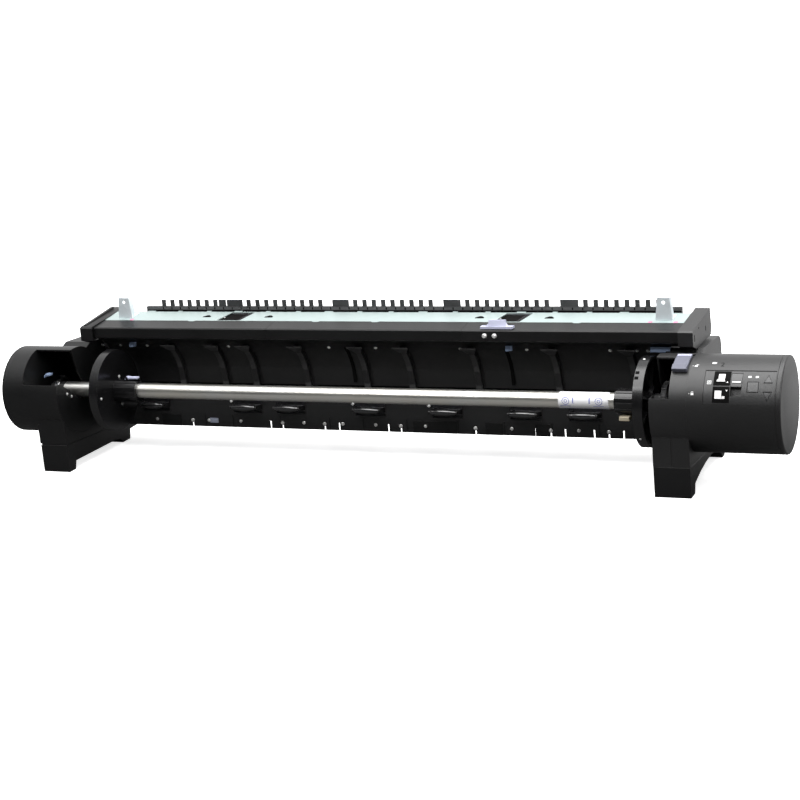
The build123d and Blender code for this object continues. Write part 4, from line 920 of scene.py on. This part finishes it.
# Paper sensors: dark anti-glare windows let into the plate, with two fine rules that run
# across them and a plated strip at the rear.
window_black = moulded("window_black", (0.003, 0.0025, 0.0025), 0.55, spec=0.04, depth=0.03)
moulding("media_sensors", window_black, edge=0.3)
WINDOW_X, WINDOW_SINK = (-324.0, 279.0), -2.9
RULES, RULE_Y, RULE_LEAN = (9.0, 13.0), (83.5, 130.0), 11.0
bm = bmesh.new()
for x in WINDOW_X:
    for rule in RULES:
        near, far = x + rule, x + rule + RULE_LEAN
        on_top(bm, [(near, RULE_Y[0]), (near + 1.0, RULE_Y[0]), (far + 1.0, RULE_Y[1]), (far, RULE_Y[1])],
               0.3, WINDOW_SINK)
    on_top(bm, [(x - 20.5, 127.5), (x + 31.5, 127.5), (x + 31.9, 129.5), (x - 20.1, 129.5)],
           0.5, WINDOW_SINK)
settle(bm)
finish(bm, "sensor_rules", "frame", dark_steel)


# Comb: a charcoal rail behind the exit slot whose fingers keep the paper's edge down. The rail's
# front face is drawn paler as a painted highlight, with black painted shade in the notches between
# the fingers and in the gap beneath it.
comb_abs = moulded("comb_abs", (0.030, 0.030, 0.031), 0.45, spec=0.5)
moulding("comb_guide", comb_abs, edge=0.5)
comb_highlight_abs = moulded("comb_highlight_abs", (0.075, 0.075, 0.077), 0.5, spec=0.4)
low, high = span("comb_guide")
COMB_RAIL_Z = 144.0
NOTCHES, NOTCH_START, NOTCH_PITCH, NOTCH_WIDTH = 54, 40.0, 20.5, 2.2
# Paler strip on the rail's front face: painted highlight.
bm = bmesh.new()
brick(bm, (low.x + 0.5, low.y - 0.3, COMB_RAIL_Z - 6.5), (high.x - 0.5, low.y + 1.0, COMB_RAIL_Z - 1.0))
settle(bm)
finish(bm, "comb_face_highlight", "frame", comb_highlight_abs)
# Black strip under the face and black notches between the fingers: painted shade.
bm = bmesh.new()
brick(bm, (low.x + 0.5, low.y - 0.4, COMB_RAIL_Z - 11.0), (high.x - 0.5, low.y + 1.0, COMB_RAIL_Z - 6.7))
for notch in range(NOTCHES):
    x = low.x + NOTCH_START + notch * NOTCH_PITCH
    brick(bm, (x, low.y - 0.5, COMB_RAIL_Z - 5.5), (x + NOTCH_WIDTH, low.y + 1.0, COMB_RAIL_Z - 0.8))
settle(bm)
finish(bm, "comb_shadow_gap", "frame", shade_and_print_black)


# Hangers: tapered channels of pale plated sheet, folded on both sides and screwed to the top,
# that hook under the printer.
hanger_zinc = plated("hanger_zinc", (0.72, 0.78, 0.81), 0.34, metallic=0.4, spangle=0.05)
for node in ("left_hanger", "right_hanger"):
    moulding(node, hanger_zinc, edge=0.35)


# Release lever: a small lilac lever with a flared thumb pad, hinged on the front edge of the
# top, and the oval button of its latch below the beam.
moulding("clip_lever", lilac_abs, edge=0.9)
low, high = span("clip_lever")
LEVER_BASE_TOP, FLARE_DEPTH = low.z + 4.5, (0.0, 5.0, 0.0)
FLARES = ((252.0, -9.0), (286.0, 9.0))
bm = bmesh.new()
for x, foot in FLARES:
    slab(bm, [(x, low.y + 2.5, LEVER_BASE_TOP - 0.5), (x + foot, low.y + 2.5, LEVER_BASE_TOP - 0.5),
              (x + foot * 0.35, low.y + 4.5, LEVER_BASE_TOP + 2.2),
              (x, low.y + 6.0, LEVER_BASE_TOP + 6.5)], FLARE_DEPTH)
settle(bm)
finish(bm, "lever_flares", frame["nodes"]["clip_lever"]["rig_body"], lilac_abs, edge=0.6)
BUTTON_LOW, BUTTON_HIGH = (258.0, 52.0, 93.5), (276.0, 58.0, 98.0)
bm = bmesh.new()
brick(bm, BUTTON_LOW, BUTTON_HIGH)
settle(bm)
finish(bm, "latch_button", "frame", lilac_abs, edge=1.6)
